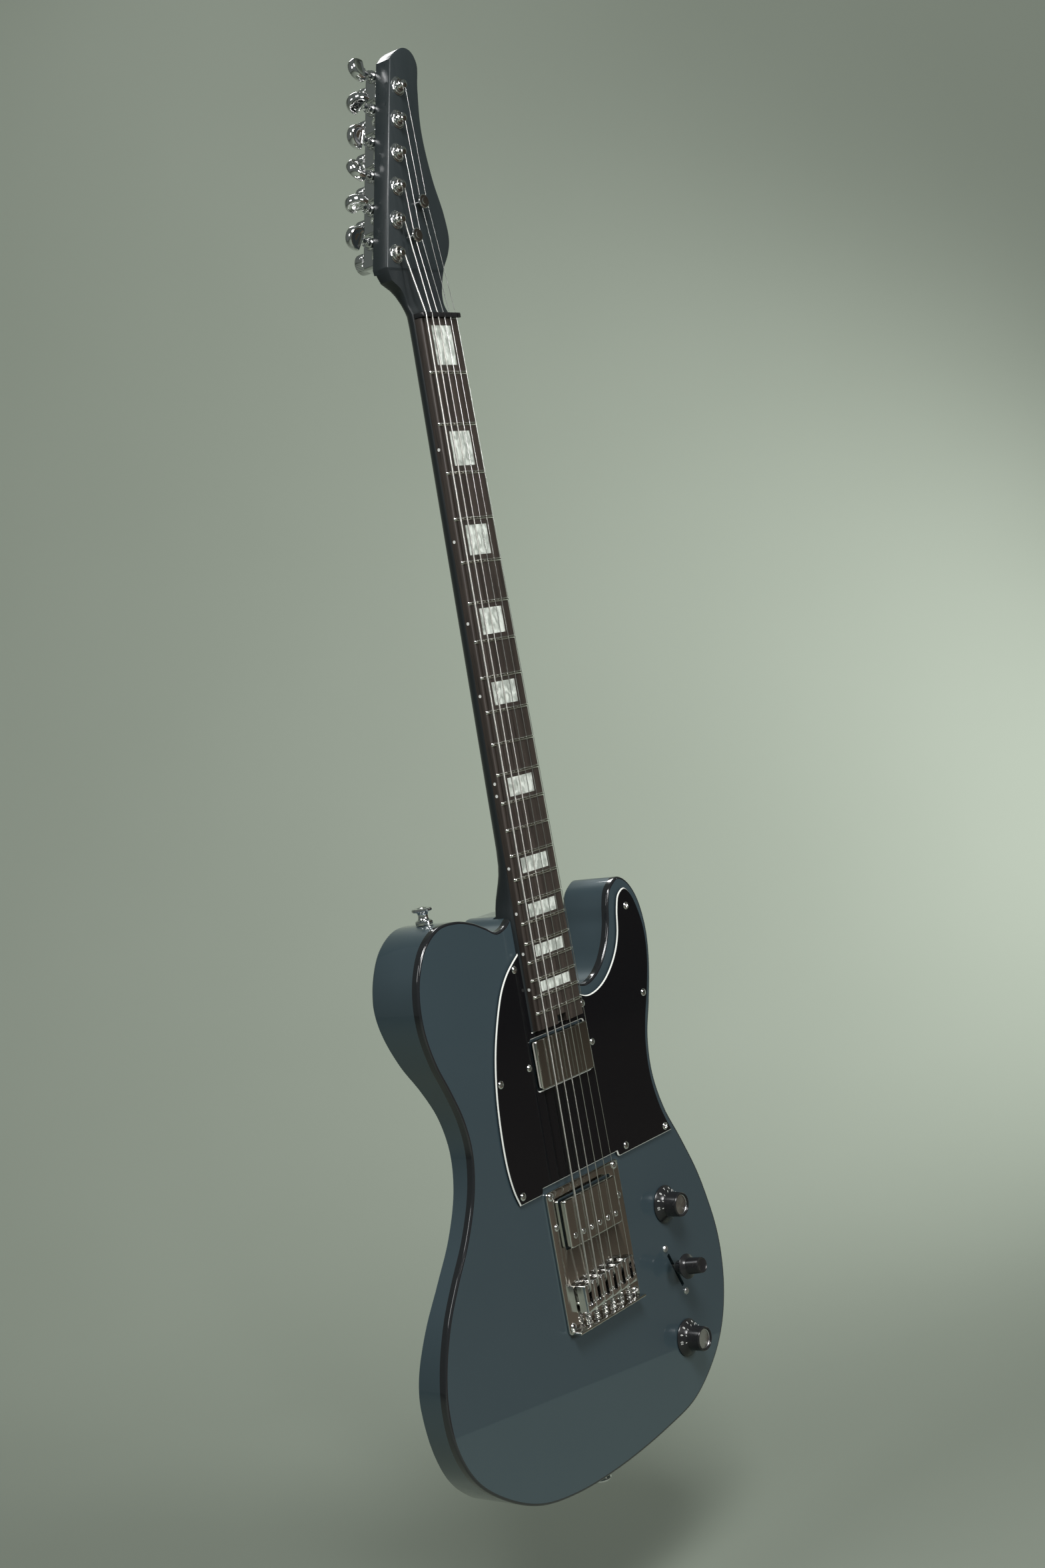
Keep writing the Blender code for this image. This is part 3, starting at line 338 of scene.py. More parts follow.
@dataclass(frozen=True)
class BodyPaint:
    """Dark slate metallic paint under clear gloss."""

    name: str = "slate_metallic_paint"

    def make(self) -> bpy.types.Material:
        """Build the material: fine flake in the colour and a soft orange peel under a coat."""
        shader = Shader(self.name)
        flake = shader.noise(9000.0, 1.0)
        cloud = shader.noise(9.0, 2.0)
        peel = shader.noise(260.0, 1.0)
        base = shader.mix(cloud, (0.044, 0.071, 0.086), (0.051, 0.079, 0.094))
        sparkle = flake.above(0.62) * 0.2
        shader.set(Base_Color=shader.mix(sparkle, base, (0.10, 0.14, 0.17)), Metallic=0.35, Roughness=0.38,
                   Coat_Weight=1.0, Coat_Roughness=0.02)
        shader.bump(peel, 0.004, 0.3)
        return shader.material


@dataclass(frozen=True)
class GuardPly:
    """Black gloss sheet with a white core that shows in the cut edge."""

    name: str = "three_ply_guard"

    def make(self) -> bpy.types.Material:
        """Build the material: the core is a band in depth."""
        shader = Shader(self.name)
        depth = shader.axis("Y")
        core = (0.00040 - (depth + 0.00195).size()).above(0.0)
        scratches = shader.noise(1500.0, 3.0, (1, 1, 0.06))
        shader.set(Base_Color=shader.mix(core, (0.005, 0.005, 0.006), (0.72, 0.73, 0.69)),
                   Roughness=scratches * 0.06 + 0.05)
        return shader.material


@dataclass(frozen=True)
class Ebony:
    """Dark open-pored wood with grain along the neck."""

    name: str = "ebony"

    def make(self) -> bpy.types.Material:
        """Build the material: streaks and fine pores that run along Z."""
        shader = Shader(self.name)
        streak = shader.noise(140.0, 5.0, (1, 1, 0.03))
        pores = shader.noise(1400.0, 3.0, (1, 1, 0.02))
        pits = pores.above(0.60)
        colour = shader.mix(streak, (0.010, 0.008, 0.007), (0.060, 0.045, 0.036))
        shader.set(Base_Color=shader.mix(pits * 0.7, colour, (0.006, 0.005, 0.004)),
                   Roughness=streak * 0.25 + 0.33)
        shader.bump(pores, 0.05, 0.5)
        return shader.material


@dataclass(frozen=True)
class Pearloid:
    """Pale swirled inlay plastic."""

    name: str = "pearloid"

    def make(self) -> bpy.types.Material:
        """Build the material: folded sheets of lighter and darker pearl."""
        shader = Shader(self.name)
        swirl = shader.noise(95.0, 6.0, (1, 1, 0.55))
        folds = (swirl * 34.0 + shader.noise(40.0, 2.0) * 9.0).wave() * 0.5 + 0.5
        shader.set(Base_Color=shader.mix(folds, (0.42, 0.45, 0.41), (0.80, 0.84, 0.78)), Metallic=0.15,
                   Roughness=0.25 - folds * 0.1, Coat_Weight=0.5, Coat_Roughness=0.05)
        return shader.material


@dataclass(frozen=True)
class WoundWire:
    """Round-wound string: fine rings across the wire."""

    name: str = "wound_wire"
    pitch: float = 0.28

    def make(self) -> bpy.types.Material:
        """Build the material: rings from a sine along Z, used as colour and as bump, with painted shade in the grooves
        between windings and a painted highlight on their crests.
        """
        shader = Shader(self.name)
        rings = (shader.axis("Z") * (math.tau / (self.pitch * MM))).wave() * 0.5 + 0.5
        # Base colour darker in each groove and lighter on each crest: painted shade and painted highlight on one wire
        # metal.
        shader.set(Base_Color=shader.mix(rings, (0.35, 0.34, 0.31), (0.72, 0.71, 0.67)), Metallic=1.0,
                   Roughness=0.28)
        shader.bump(rings, 0.05, 0.6)
        return shader.material


@dataclass(frozen=True)
class SpunDisc:
    """Turned aluminium with rings round a knob's axis."""

    name: str
    centre: tuple[float, float]

    def make(self) -> bpy.types.Material:
        """Build the material: rings from the distance to the axis, used as colour and as bump, with painted shade in
        each turning groove and a painted highlight on each ridge.
        """
        shader = Shader(self.name)
        x = shader.axis("X") - self.centre[0] * MM
        z = shader.axis("Z") - self.centre[1] * MM
        reach = (x * x + z * z)._math("SQRT", x * x + z * z)
        rings = (reach * (math.tau / (0.22 * MM))).wave() * 0.5 + 0.5
        # Base colour darker in each groove and lighter on each ridge: painted shade and painted highlight on one
        # aluminium.
        shader.set(Base_Color=shader.mix(rings, (0.62, 0.62, 0.63), (0.82, 0.82, 0.83)), Metallic=1.0,
                   Roughness=0.22)
        shader.bump(rings, 0.02, 0.7)
        return shader.material


FINISHES = {
    "paint": BodyPaint(),
    "guard": GuardPly(),
    "ebony": Ebony(),
    "pearl": Pearloid(),
    "wound": WoundWire(),
    "binding": Finish("black_binding", (0.012, 0.013, 0.015), 0.12, Sheen.GLOSS, 0.1, 300.0, 0.0, (1, 1, 1), 0.8),
    "neck": Finish("satin_black_neck", (0.016, 0.020, 0.022), 0.34, Sheen.SATIN, 0.2, 260.0, 0.01, (1, 1, 0.1)),
    "head": Finish("black_headstock", (0.020, 0.026, 0.028), 0.30, Sheen.GLOSS, 0.12, 260.0, 0.006, (1, 1, 0.1)),
    "chrome": Finish("polished_chrome", (0.80, 0.80, 0.80), 0.07, Sheen.METAL, 0.03, 500.0),
    "bridge": Finish("bridge_chrome", (0.66, 0.65, 0.62), 0.12, Sheen.METAL, 0.05, 500.0),
    "cover": Finish("pickup_cover_chrome", (0.62, 0.61, 0.58), 0.09, Sheen.METAL, 0.05, 300.0),
    "steel": Finish("bright_steel", (0.70, 0.70, 0.68), 0.20, Sheen.METAL, 0.08, 900.0),
    "fret": Finish("fret_wire", (0.80, 0.79, 0.75), 0.16, Sheen.METAL, 0.05, 900.0),
    "black": Finish("black_plastic", (0.014, 0.014, 0.015), 0.22, Sheen.GLOSS, 0.1, 500.0, 0.005),
    "white": Finish("white_marking", (0.78, 0.79, 0.76), 0.4, Sheen.SATIN, 0.05, 900.0),
    "hidden": Finish("plain_steel", (0.5, 0.5, 0.5), 0.4, Sheen.METAL, 0.1, 500.0),
}
MADE: dict[str, bpy.types.Material] = {}


def material(name: str) -> bpy.types.Material:
    """Return a finish's material, made the first time."""
    if name not in MADE:
        MADE[name] = FINISHES[name].make()
    return MADE[name]


# Curves and outlines

def smooth_line(points: Points, steps: int, closed: bool = False) -> np.ndarray:
    """Centripetal Catmull-Rom curve, worked out for all spans at once.

    Args:
        points: places the curve passes through.
        steps: points for each span.
        closed: whether it comes back to its start.

    Returns:
        Array of places.
    """
    given = np.array(points, dtype=float)
    if closed:
        a, b, c, d = (np.roll(given, shift, axis=0) for shift in (1, 0, -1, -2))
    else:
        longer = np.vstack([2 * given[0] - given[1], given, 2 * given[-1] - given[-2]])
        a, b, c, d = longer[:-3], longer[1:-2], longer[2:-1], longer[3:]
    t1 = np.sqrt(np.linalg.norm(b - a, axis=1))[:, None, None]
    t2 = t1 + np.sqrt(np.linalg.norm(c - b, axis=1))[:, None, None]
    t3 = t2 + np.sqrt(np.linalg.norm(d - c, axis=1))[:, None, None]
    a, b, c, d = (side[:, None, :] for side in (a, b, c, d))
    t = t1 + (t2 - t1) * (np.arange(steps) / steps)[None, :, None]
    ab = a + (b - a) * t / t1
    bc = b + (c - b) * (t - t1) / (t2 - t1)
    cd = c + (d - c) * (t - t2) / (t3 - t2)
    abc = ab + (bc - ab) * t / t2
    bcd = bc + (cd - bc) * (t - t1) / (t3 - t1)
    line = (abc + (bcd - abc) * (t - t1) / (t2 - t1)).reshape(-1, given.shape[1])
    return line if closed else np.vstack([line, given[-1]])


def widened(outline: np.ndarray, distance: float) -> np.ndarray:
    """The closed outline moved outward along its own normals."""
    along = np.roll(outline, -1, axis=0) - np.roll(outline, 1, axis=0)
    along = along / np.linalg.norm(along, axis=1)[:, None]
    return outline + np.stack([along[:, 1], -along[:, 0]], axis=1) * distance


def rounded_rectangle(x0: float, x1: float, z0: float, z1: float, radius: float, steps: int = 8) -> np.ndarray:
    """Outline of a rectangle with round corners, anticlockwise."""
    angles = np.radians(np.arange(-90, 0.1, 90 / steps)[None, :] + np.array([[0], [90], [180], [270]]))
    centres = np.array([(x1 - radius, z0 + radius), (x1 - radius, z1 - radius),
                        (x0 + radius, z1 - radius), (x0 + radius, z0 + radius)])
    ring = np.stack([np.cos(angles), np.sin(angles)], axis=2) * radius + centres[:, None, :]
    return ring.reshape(-1, 2)


# Meshes

def mesh_object(name: str, places: np.ndarray, faces: list) -> bpy.types.Object:
    """Make an object from places in millimetres and faces.

    Args:
        name: the object's name.
        places: array of places in millimetres.
        faces: lists of vertex numbers.

    Returns:
        The linked object.
    """
    mesh = bpy.data.meshes.new(name)
    mesh.from_pydata((places * MM).tolist(), [], faces)
    item = bpy.data.objects.new(name, mesh)
    bpy.context.scene.collection.objects.link(item)
    outward(item)
    return item


def outward(item: bpy.types.Object) -> None:
    """Point an object's faces outward and shade it smooth but for its sharp edges."""
    source = bmesh.new()
    source.from_mesh(item.data)
    bmesh.ops.recalc_face_normals(source, faces=source.faces)
    source.to_mesh(item.data)
    source.free()
    item.data.shade_smooth()
    item.data.set_sharp_from_angle(angle=math.radians(32.0))


def grid_faces(rows: int, columns: int, around: bool = True) -> list:
    """Quads of a grid of rows and columns, closed round its columns if asked."""
    lines, across = np.meshgrid(np.arange(rows - 1), np.arange(columns if around else columns - 1), indexing="ij")
    beside = (across + 1) % columns
    quads = np.stack([lines * columns + across, lines * columns + beside,
                      (lines + 1) * columns + beside, (lines + 1) * columns + across], axis=2)
    return quads.reshape(-1, 4).tolist()


def skin(name: str, rows: np.ndarray, caps: bool = True) -> bpy.types.Object:
    """A closed surface over rings of equal length, with flat ends.

    Args:
        name: the object's name.
        rows: array of rings, in millimetres.
        caps: whether the ends are filled.

    Returns:
        The object.
    """
    count, length, _ = rows.shape
    faces = grid_faces(count, length)
    if caps:
        faces += [list(range(length))[::-1], list(range((count - 1) * length, count * length))]
    return mesh_object(name, rows.reshape(-1, 3), faces)


def stacked(outline: np.ndarray, levels: list[tuple[float, float]]) -> np.ndarray:
    """Rings of an outline: each level is an inset and a depth along Y."""
    rings = []
    for inset, depth in levels:
        ring = widened(outline, -inset)
        rings.append(np.stack([ring[:, 0], np.full(len(ring), depth), ring[:, 1]], axis=1))
    return np.array(rings)


def quarter(radius: float, inset: float, depth: float, sign: float, steps: int = 5) -> list[tuple[float, float]]:
    """Levels of a quarter-round edge that ends flat at the depth."""
    return [(inset + radius * (1 - math.sin(math.pi / 2 * step / steps)),
             depth + sign * radius * (1 - math.cos(math.pi / 2 * step / steps))) for step in range(steps + 1)]


def lathe(name: str, profile: list[tuple[float, float]], origin: tuple, axis: tuple, sides: int = 48,
          ripple: float = 0.0, teeth: int = 0) -> bpy.types.Object:
    """A turned solid.

    Args:
        name: the object's name.
        profile: (radius, height) pairs from the top down.
        origin: where height 0 is.
        axis: direction of the height.
        sides: points round the axis.
        ripple: depth of knurling on every ring.
        teeth: how many ripples go round.

    Returns:
        The object.
    """
    angles = np.linspace(0, math.tau, sides, endpoint=False)
    radii = np.array([max(pair[0], 0.01) for pair in profile])
    heights = np.array([pair[1] for pair in profile])
    wave = 1.0 + ripple * np.cos(angles * teeth)
    share = np.where(radii > 0.6 * radii.max(), 1.0, 0.0)[:, None]
    spread = radii[:, None] * (1 + (wave[None, :] - 1) * share)
    local = np.stack([spread * np.cos(angles), spread * np.sin(angles),
                      np.repeat(heights[:, None], sides, axis=1)], axis=2)
    turn = np.array(Vector(axis).to_track_quat("Z", "Y").to_matrix())
    return skin(name, local @ turn.T + np.array(origin, dtype=float))


def pipe(name: str, path: np.ndarray, radius: float, sides: int = 12) -> bpy.types.Object:
    """A round wire along a path, with frames carried along it.

    Args:
        name: the object's name.
        path: places along the middle.
        radius: the wire's radius.
        sides: points round the wire.

    Returns:
        The object.
    """
    along = np.gradient(path, axis=0)
    along /= np.linalg.norm(along, axis=1)[:, None]
    side = np.cross(along[0], (0.0, 0.3, 1.0))
    if np.linalg.norm(side) < 0.1:
        side = np.cross(along[0], (1.0, 0.0, 0.0))
    sides_at = []
    for direction in along:
        side = side - direction * np.dot(side, direction)
        side /= np.linalg.norm(side)
        sides_at.append(side)
    across = np.array(sides_at)
    up = np.cross(along, across)
    angles = np.linspace(0, math.tau, sides, endpoint=False)
    rings = (path[:, None, :] + radius * (np.cos(angles)[None, :, None] * across[:, None, :]
                                         + np.sin(angles)[None, :, None] * up[:, None, :]))
    return skin(name, rings)


def block(name: str, x: tuple, y: tuple, z: tuple, edge: float = 0.3, segments: int = 2) -> bpy.types.Object:
    """A box with rounded edges between low and high values along each axis."""
    source = bmesh.new()
    bmesh.ops.create_cube(source, size=1.0)
    low = Vector((x[0], y[0], z[0])) * MM
    high = Vector((x[1], y[1], z[1])) * MM
    scale = Matrix.Diagonal((*(high - low), 1.0))
    bmesh.ops.transform(source, matrix=Matrix.Translation((low + high) / 2) @ scale, verts=source.verts)
    bmesh.ops.bevel(source, geom=source.edges, offset=edge * MM, segments=segments, affect="EDGES", profile=0.5)
    mesh = bpy.data.meshes.new(name)
    source.to_mesh(mesh)
    source.free()
    item = bpy.data.objects.new(name, mesh)
    bpy.context.scene.collection.objects.link(item)
    outward(item)
    return item


def sheet(name: str, outlines: list, front: float, back: float, edge: float, rounds: int = 2) -> bpy.types.Object:
    """A flat piece with softened edges from a filled curve, with holes where outlines nest.

    Args:
        name: the object's name.
        outlines: closed outlines of (x, z) places.
        front: depth of the front face.
        back: depth of the back face.
        edge: how far each edge is cut back.
        rounds: steps of the edge's rounding, 0 for a straight chamfer.

    Returns:
        The object.
    """
    data = bpy.data.curves.new(name, "CURVE")
    data.dimensions = "2D"
    data.fill_mode = "BOTH"
    data.extrude = ((back - front) * 0.5 - edge) * MM
    data.bevel_depth = edge * MM
    data.bevel_resolution = rounds
    data.offset = -edge * MM
    for outline in outlines:
        spline = data.splines.new("POLY")
        spline.points.add(len(outline) - 1)
        flat = np.zeros((len(outline), 4))
        flat[:, :2] = np.array(outline) * MM
        flat[:, 3] = 1.0
        spline.points.foreach_set("co", flat.ravel())
        spline.use_cyclic_u = True
    holder = bpy.data.objects.new(name, data)
    holder.location.y = (front + back) * 0.5 * MM
    holder.rotation_euler.x = math.pi / 2
    return made_mesh(holder, name)


def made_mesh(holder: bpy.types.Object, name: str) -> bpy.types.Object:
    """Turn a curve or modified object into a plain mesh object at the origin."""
    if not holder.users_collection:
        bpy.context.scene.collection.objects.link(holder)
    bpy.context.view_layer.update()
    graph = bpy.context.evaluated_depsgraph_get()
    mesh = bpy.data.meshes.new_from_object(holder.evaluated_get(graph))
    mesh.transform(holder.matrix_world)
    bpy.data.objects.remove(holder, do_unlink=True)
    source = bmesh.new()
    source.from_mesh(mesh)
    bmesh.ops.remove_doubles(source, verts=source.verts, dist=0.000002)
    source.to_mesh(mesh)
    source.free()
    mesh.materials.clear()
    mesh.name = name
    item = bpy.data.objects.new(name, mesh)
    bpy.context.scene.collection.objects.link(item)
    outward(item)
    return item


def cut(item: bpy.types.Object, *cutters: bpy.types.Object) -> bpy.types.Object:
    """The object with the cutters taken away, as a new plain mesh."""
    name = item.name
    for cutter in cutters:
        tool = item.modifiers.new("cut", "BOOLEAN")
        tool.object = cutter
        tool.solver = "EXACT"
    result = made_mesh(item, name)
    for cutter in cutters:
        bpy.data.objects.remove(cutter, do_unlink=True)
    result.name = name
    return result


def merged(name: str, items: list) -> bpy.types.Object:
    """Several objects as one."""
    source = bmesh.new()
    for item in items:
        source.from_mesh(item.data)
        bpy.data.objects.remove(item, do_unlink=True)
    mesh = bpy.data.meshes.new(name)
    source.to_mesh(mesh)
    source.free()
    result = bpy.data.objects.new(name, mesh)
    bpy.context.scene.collection.objects.link(result)
    mesh.shade_smooth()
    mesh.set_sharp_from_angle(angle=math.radians(32.0))
    return result


def moved(item: bpy.types.Object, matrix: Matrix) -> bpy.types.Object:
    """Move an object's mesh by a matrix in metres."""
    item.data.transform(matrix)
    if matrix.determinant() < 0:
        item.data.flip_normals()
    return item


def fit(item: bpy.types.Object, finish: str, body: str = ROOT,
        nodes: tuple = ()) -> bpy.types.Object:
    """Give a piece its finish and the body that it rides on.

    Args:
        item: the piece.
        finish: name of its finish.
        body: the CAD body it moves with.
        nodes: CAD nodes that it stands for.

    Returns:
        The piece.
    """
    item.data.materials.clear()
    item.data.materials.append(material(finish))
    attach(item, body)
    if nodes:
        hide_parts(*nodes)
    LOG.info("%s rides on %s, %d faces", item.name, body, len(item.data.polygons))
    return item


def screw_head(name: str, place: tuple, axis: tuple, radius: float = 3.2, height: float = 1.3,
               turn: float = 0.4) -> bpy.types.Object:
    """A domed screw head with a cross recess.

    Args:
        name: the object's name.
        place: middle of its seat.
        axis: direction out of the surface.
        radius: the head's radius.
        height: the dome's height.
        turn: angle of the cross.

    Returns:
        The object.
    """
    steps = np.linspace(0, math.pi / 2, 7)
    profile = [(radius * math.sin(angle), height * math.cos(angle)) for angle in steps]
    head = lathe(name, profile + [(radius, -0.4)], (0, 0, 0), (0, 0, 1), 32)
    arms = [block(name + "_arm", (-radius * 0.55, radius * 0.55), (-radius * 0.11, radius * 0.11),
                  (height * 0.35, height + 1.0), 0.02, 1) for _ in range(2)]
    moved(arms[0], Matrix.Rotation(turn, 4, "Z"))
    moved(arms[1], Matrix.Rotation(turn + math.pi / 2, 4, "Z"))
    head = cut(head, *arms)
    spin = Vector(axis).to_track_quat("Z", "Y").to_matrix().to_4x4()
    return moved(head, Matrix.Translation(Vector(place) * MM) @ spin)


# Neck measures

def fret_z(number: float) -> float:
    """Height of a fret."""
    return NUT_Z - SCALE_LENGTH * (1.0 - 2.0 ** (-number / 12.0))


def board_half(z: "float | np.ndarray") -> "float | np.ndarray":
    """Half the board's width at a height."""
    return NUT_HALF + (BOARD_END_HALF - NUT_HALF) * (NUT_Z - z) / (NUT_Z - BOARD_END_Z)


def board_y(x: "float | np.ndarray") -> "float | np.ndarray":
    """The board's curved top at a distance from its middle."""
    return BOARD_TOP_Y + x * x / (2.0 * BOARD_RADIUS)


def string_x(index: int, z: float) -> float:
    """Sideways place of a string."""
    at_nut = NUT_PITCH * (index - 2.5)
    share = (NUT_Z - z) / (NUT_Z - SADDLE_CONTACT_Z[index])
    return at_nut + (BRIDGE_PITCH * (index - 2.5) - at_nut) * share


def post_places() -> Points:
    """Axes of the string posts, the low string's first."""
    return [(ROW_START[0] + ROW_STEP[0] * step, ROW_START[1] + ROW_STEP[1] * step) for step in range(5, -1, -1)]


@dataclass
class Body:
    """The painted body, its binding, the guard and the cover at the back."""

    steps: int = 7
    binding_wide: float = 1.9
    binding_deep: float = 5.5
    back_round: float = 3.5

    def outline(self) -> np.ndarray:
        """The body's outline, finely divided."""
        return smooth_line(BODY_POINTS, self.steps, closed=True)

    def slab(self) -> bpy.types.Object:
        """The painted slab: rings of the outline from the front face over the ledge to the back."""
        levels = [(self.binding_wide + 1.6, 0.0), (self.binding_wide + 0.05, 0.0),
                  (self.binding_wide + 0.05, self.binding_deep), (0.0, self.binding_deep), (0.0, 20.0)]
        levels += quarter(self.back_round, 0.0, BODY_THICK, -1.0)[::-1]
        levels.append((self.back_round + 1.5, BODY_THICK))
        return skin("body_shell", stacked(self.outline(), levels))

    def belly(self) -> bpy.types.Object:
        """A fat pipe that scoops the bass edge of the back."""
        radius = 80.0
        edge = smooth_line([(x - 5.0, y + radius, z) for x, z, y in BELLY_EDGE], 5)
        return pipe("belly_scoop", edge, radius, 96)

    def build(self) -> None:
        """Make and dress the body's pieces."""
        pocket = block("pocket", (-HEEL_HALF - 0.3, 31.5), (-5, POCKET_FLOOR_Y + 0.3), (BOARD_END_Z - 0.3, 440), 0.05, 1)
        recess = sheet("recess", [rounded_rectangle(72, 124, 36, 194, 14)], 43.0, 50.0, 0.1)
        jack = lathe("jack_recess", [(15.4, 12), (15.4, 0)], (160.8, 24, JACK_Z), (1, 0, 0), 48)
        slot = moved(block("slot", (-1.6, 1.6), (-4, 12), (-16, 16), 0.5), switch_matrix())
        shell = cut(self.slab(), self.belly(), pocket, recess, jack, slot)
        fit(shell, "paint", nodes=("body",))
        wide, deep = self.binding_wide, self.binding_deep
        levels = [(wide, deep), (wide, 0.0), (wide - 0.3, -0.02)]
        levels += [(1.5 * (1 - math.sin(a)), 1.5 * (1 - math.cos(a))) for a in np.linspace(0, math.pi / 2, 7)]
        levels += [(0.0, deep), (wide, deep)]
        band = skin("binding_band", stacked(self.outline(), levels), caps=False)
        trench = block("trench", (-HEEL_HALF - 1.2, 33.5), (-5, 12), (368, 440), 0.05, 1)
        fit(cut(band, trench), "binding", nodes=("body_binding",))

    def dress_guard(self) -> None:
        """Make the guard and the screws round it."""
        outline = np.vstack([np.array(GUARD_BOTTOM), smooth_line(GUARD_RIGHT, 6), np.array(GUARD_END),
                             smooth_line(GUARD_LEFT, 6)])
        window = rounded_rectangle(-PICKUP_HALF_X - 0.8, PICKUP_HALF_X + 0.8, NECK_PICKUP_Z - PICKUP_HALF_Z - 0.8,
                                   NECK_PICKUP_Z + PICKUP_HALF_Z + 0.8, 2.2)
        guard = sheet("guard_sheet", [outline, window], -2.7, -0.3, 1.18, 0)
        fit(guard, "guard", nodes=("pickguard",))
        heads = [screw_head(f"guard_head_{index}", (x, -2.6, z), (0, -1, 0), 3.1, 1.3, 0.5 * index)
                 for index, (x, z) in enumerate(GUARD_SCREWS)]
        heads += [screw_head(f"height_head_{side}", (side * PICKUP_SCREW_X, -2.6, NECK_PICKUP_Z), (0, -1, 0), 2.8)
                  for side in (-1, 1)]
        fit(merged("guard_screws", heads), "chrome")

    def dress_back(self) -> None:
        """Make the rear cover, ferrules, neck screws and strap buttons."""
        cover = sheet("rear_cover", [rounded_rectangle(72.4, 123.6, 36.4, 193.6, 13.6)], 43.3, 45.0, 0.3)
        fit(cover, "black", nodes=("control_cover",))
        heads = [screw_head(f"cover_head_{i}", (x, 45.0, z), (0, 1, 0), 2.7, 0.9, 0.7 * i)
                 for i, (x, z) in enumerate(COVER_SCREWS)]
        for index, (x, z) in enumerate(NECK_SCREWS):
            heads.append(lathe(f"neck_ferrule_{index}", [(4.4, 45.4), (6.6, 45.5), (7.0, 45.1), (7.0, 44.0), (4.4, 44.0),
                                                         (4.4, 45.4)], (x, 0, z), (0, 1, 0)))
            heads.append(screw_head(f"neck_head_{index}", (x, 45.1, z), (0, 1, 0), 4.2, 1.6, 0.9 * index))
        for index in range(6):
            heads.append(lathe(f"string_cup_{index}", [(1.3, 42.0), (2.6, 44.0), (2.6, 45.4), (3.9, 45.5), (4.3, 45.1),
                                                       (4.3, 44.0)], (BRIDGE_PITCH * (index - 2.5), 0, STRING_HOLE_Z), (0, 1, 0)))
        fit(merged("back_hardware", heads), "chrome")
        profile = [(0.01, 12.9), (1.8, 12.7), (3.3, 12.1), (3.5, 11.8), (5.6, 12.0), (7.0, 11.7), (7.6, 11.0), (7.7, 10.3),
                   (7.2, 9.6), (5.8, 9.2), (4.6, 8.8), (3.9, 7.9), (3.6, 6.4), (3.7, 4.8), (4.3, 3.7), (5.6, 3.1),
                   (6.3, 2.5), (6.5, 1.6), (6.3, 0.8), (6.3, 0.0)]
        for name, place, axis in (("strap_button_top", STRAP_TOP, (0, 0, 1)), ("strap_button_bottom", STRAP_BOTTOM, (0, 0, -1))):
            knob = lathe(name + "_turned", profile, place, axis)
            fit(knob, "chrome", nodes=(name,))


def switch_matrix() -> Matrix:
    """Places a piece made along +Z at the origin along the switch's slanted slot."""
    along = Vector((SWITCH_DIRECTION[0], 0.0, SWITCH_DIRECTION[1])).normalized()
    depth = Vector((0.0, 1.0, 0.0))
    turn = Matrix((depth.cross(along), depth, along)).transposed().to_4x4()
    return Matrix.Translation(Vector((SWITCH_CENTRE[0], 0.0, SWITCH_CENTRE[1])) * MM) @ turn


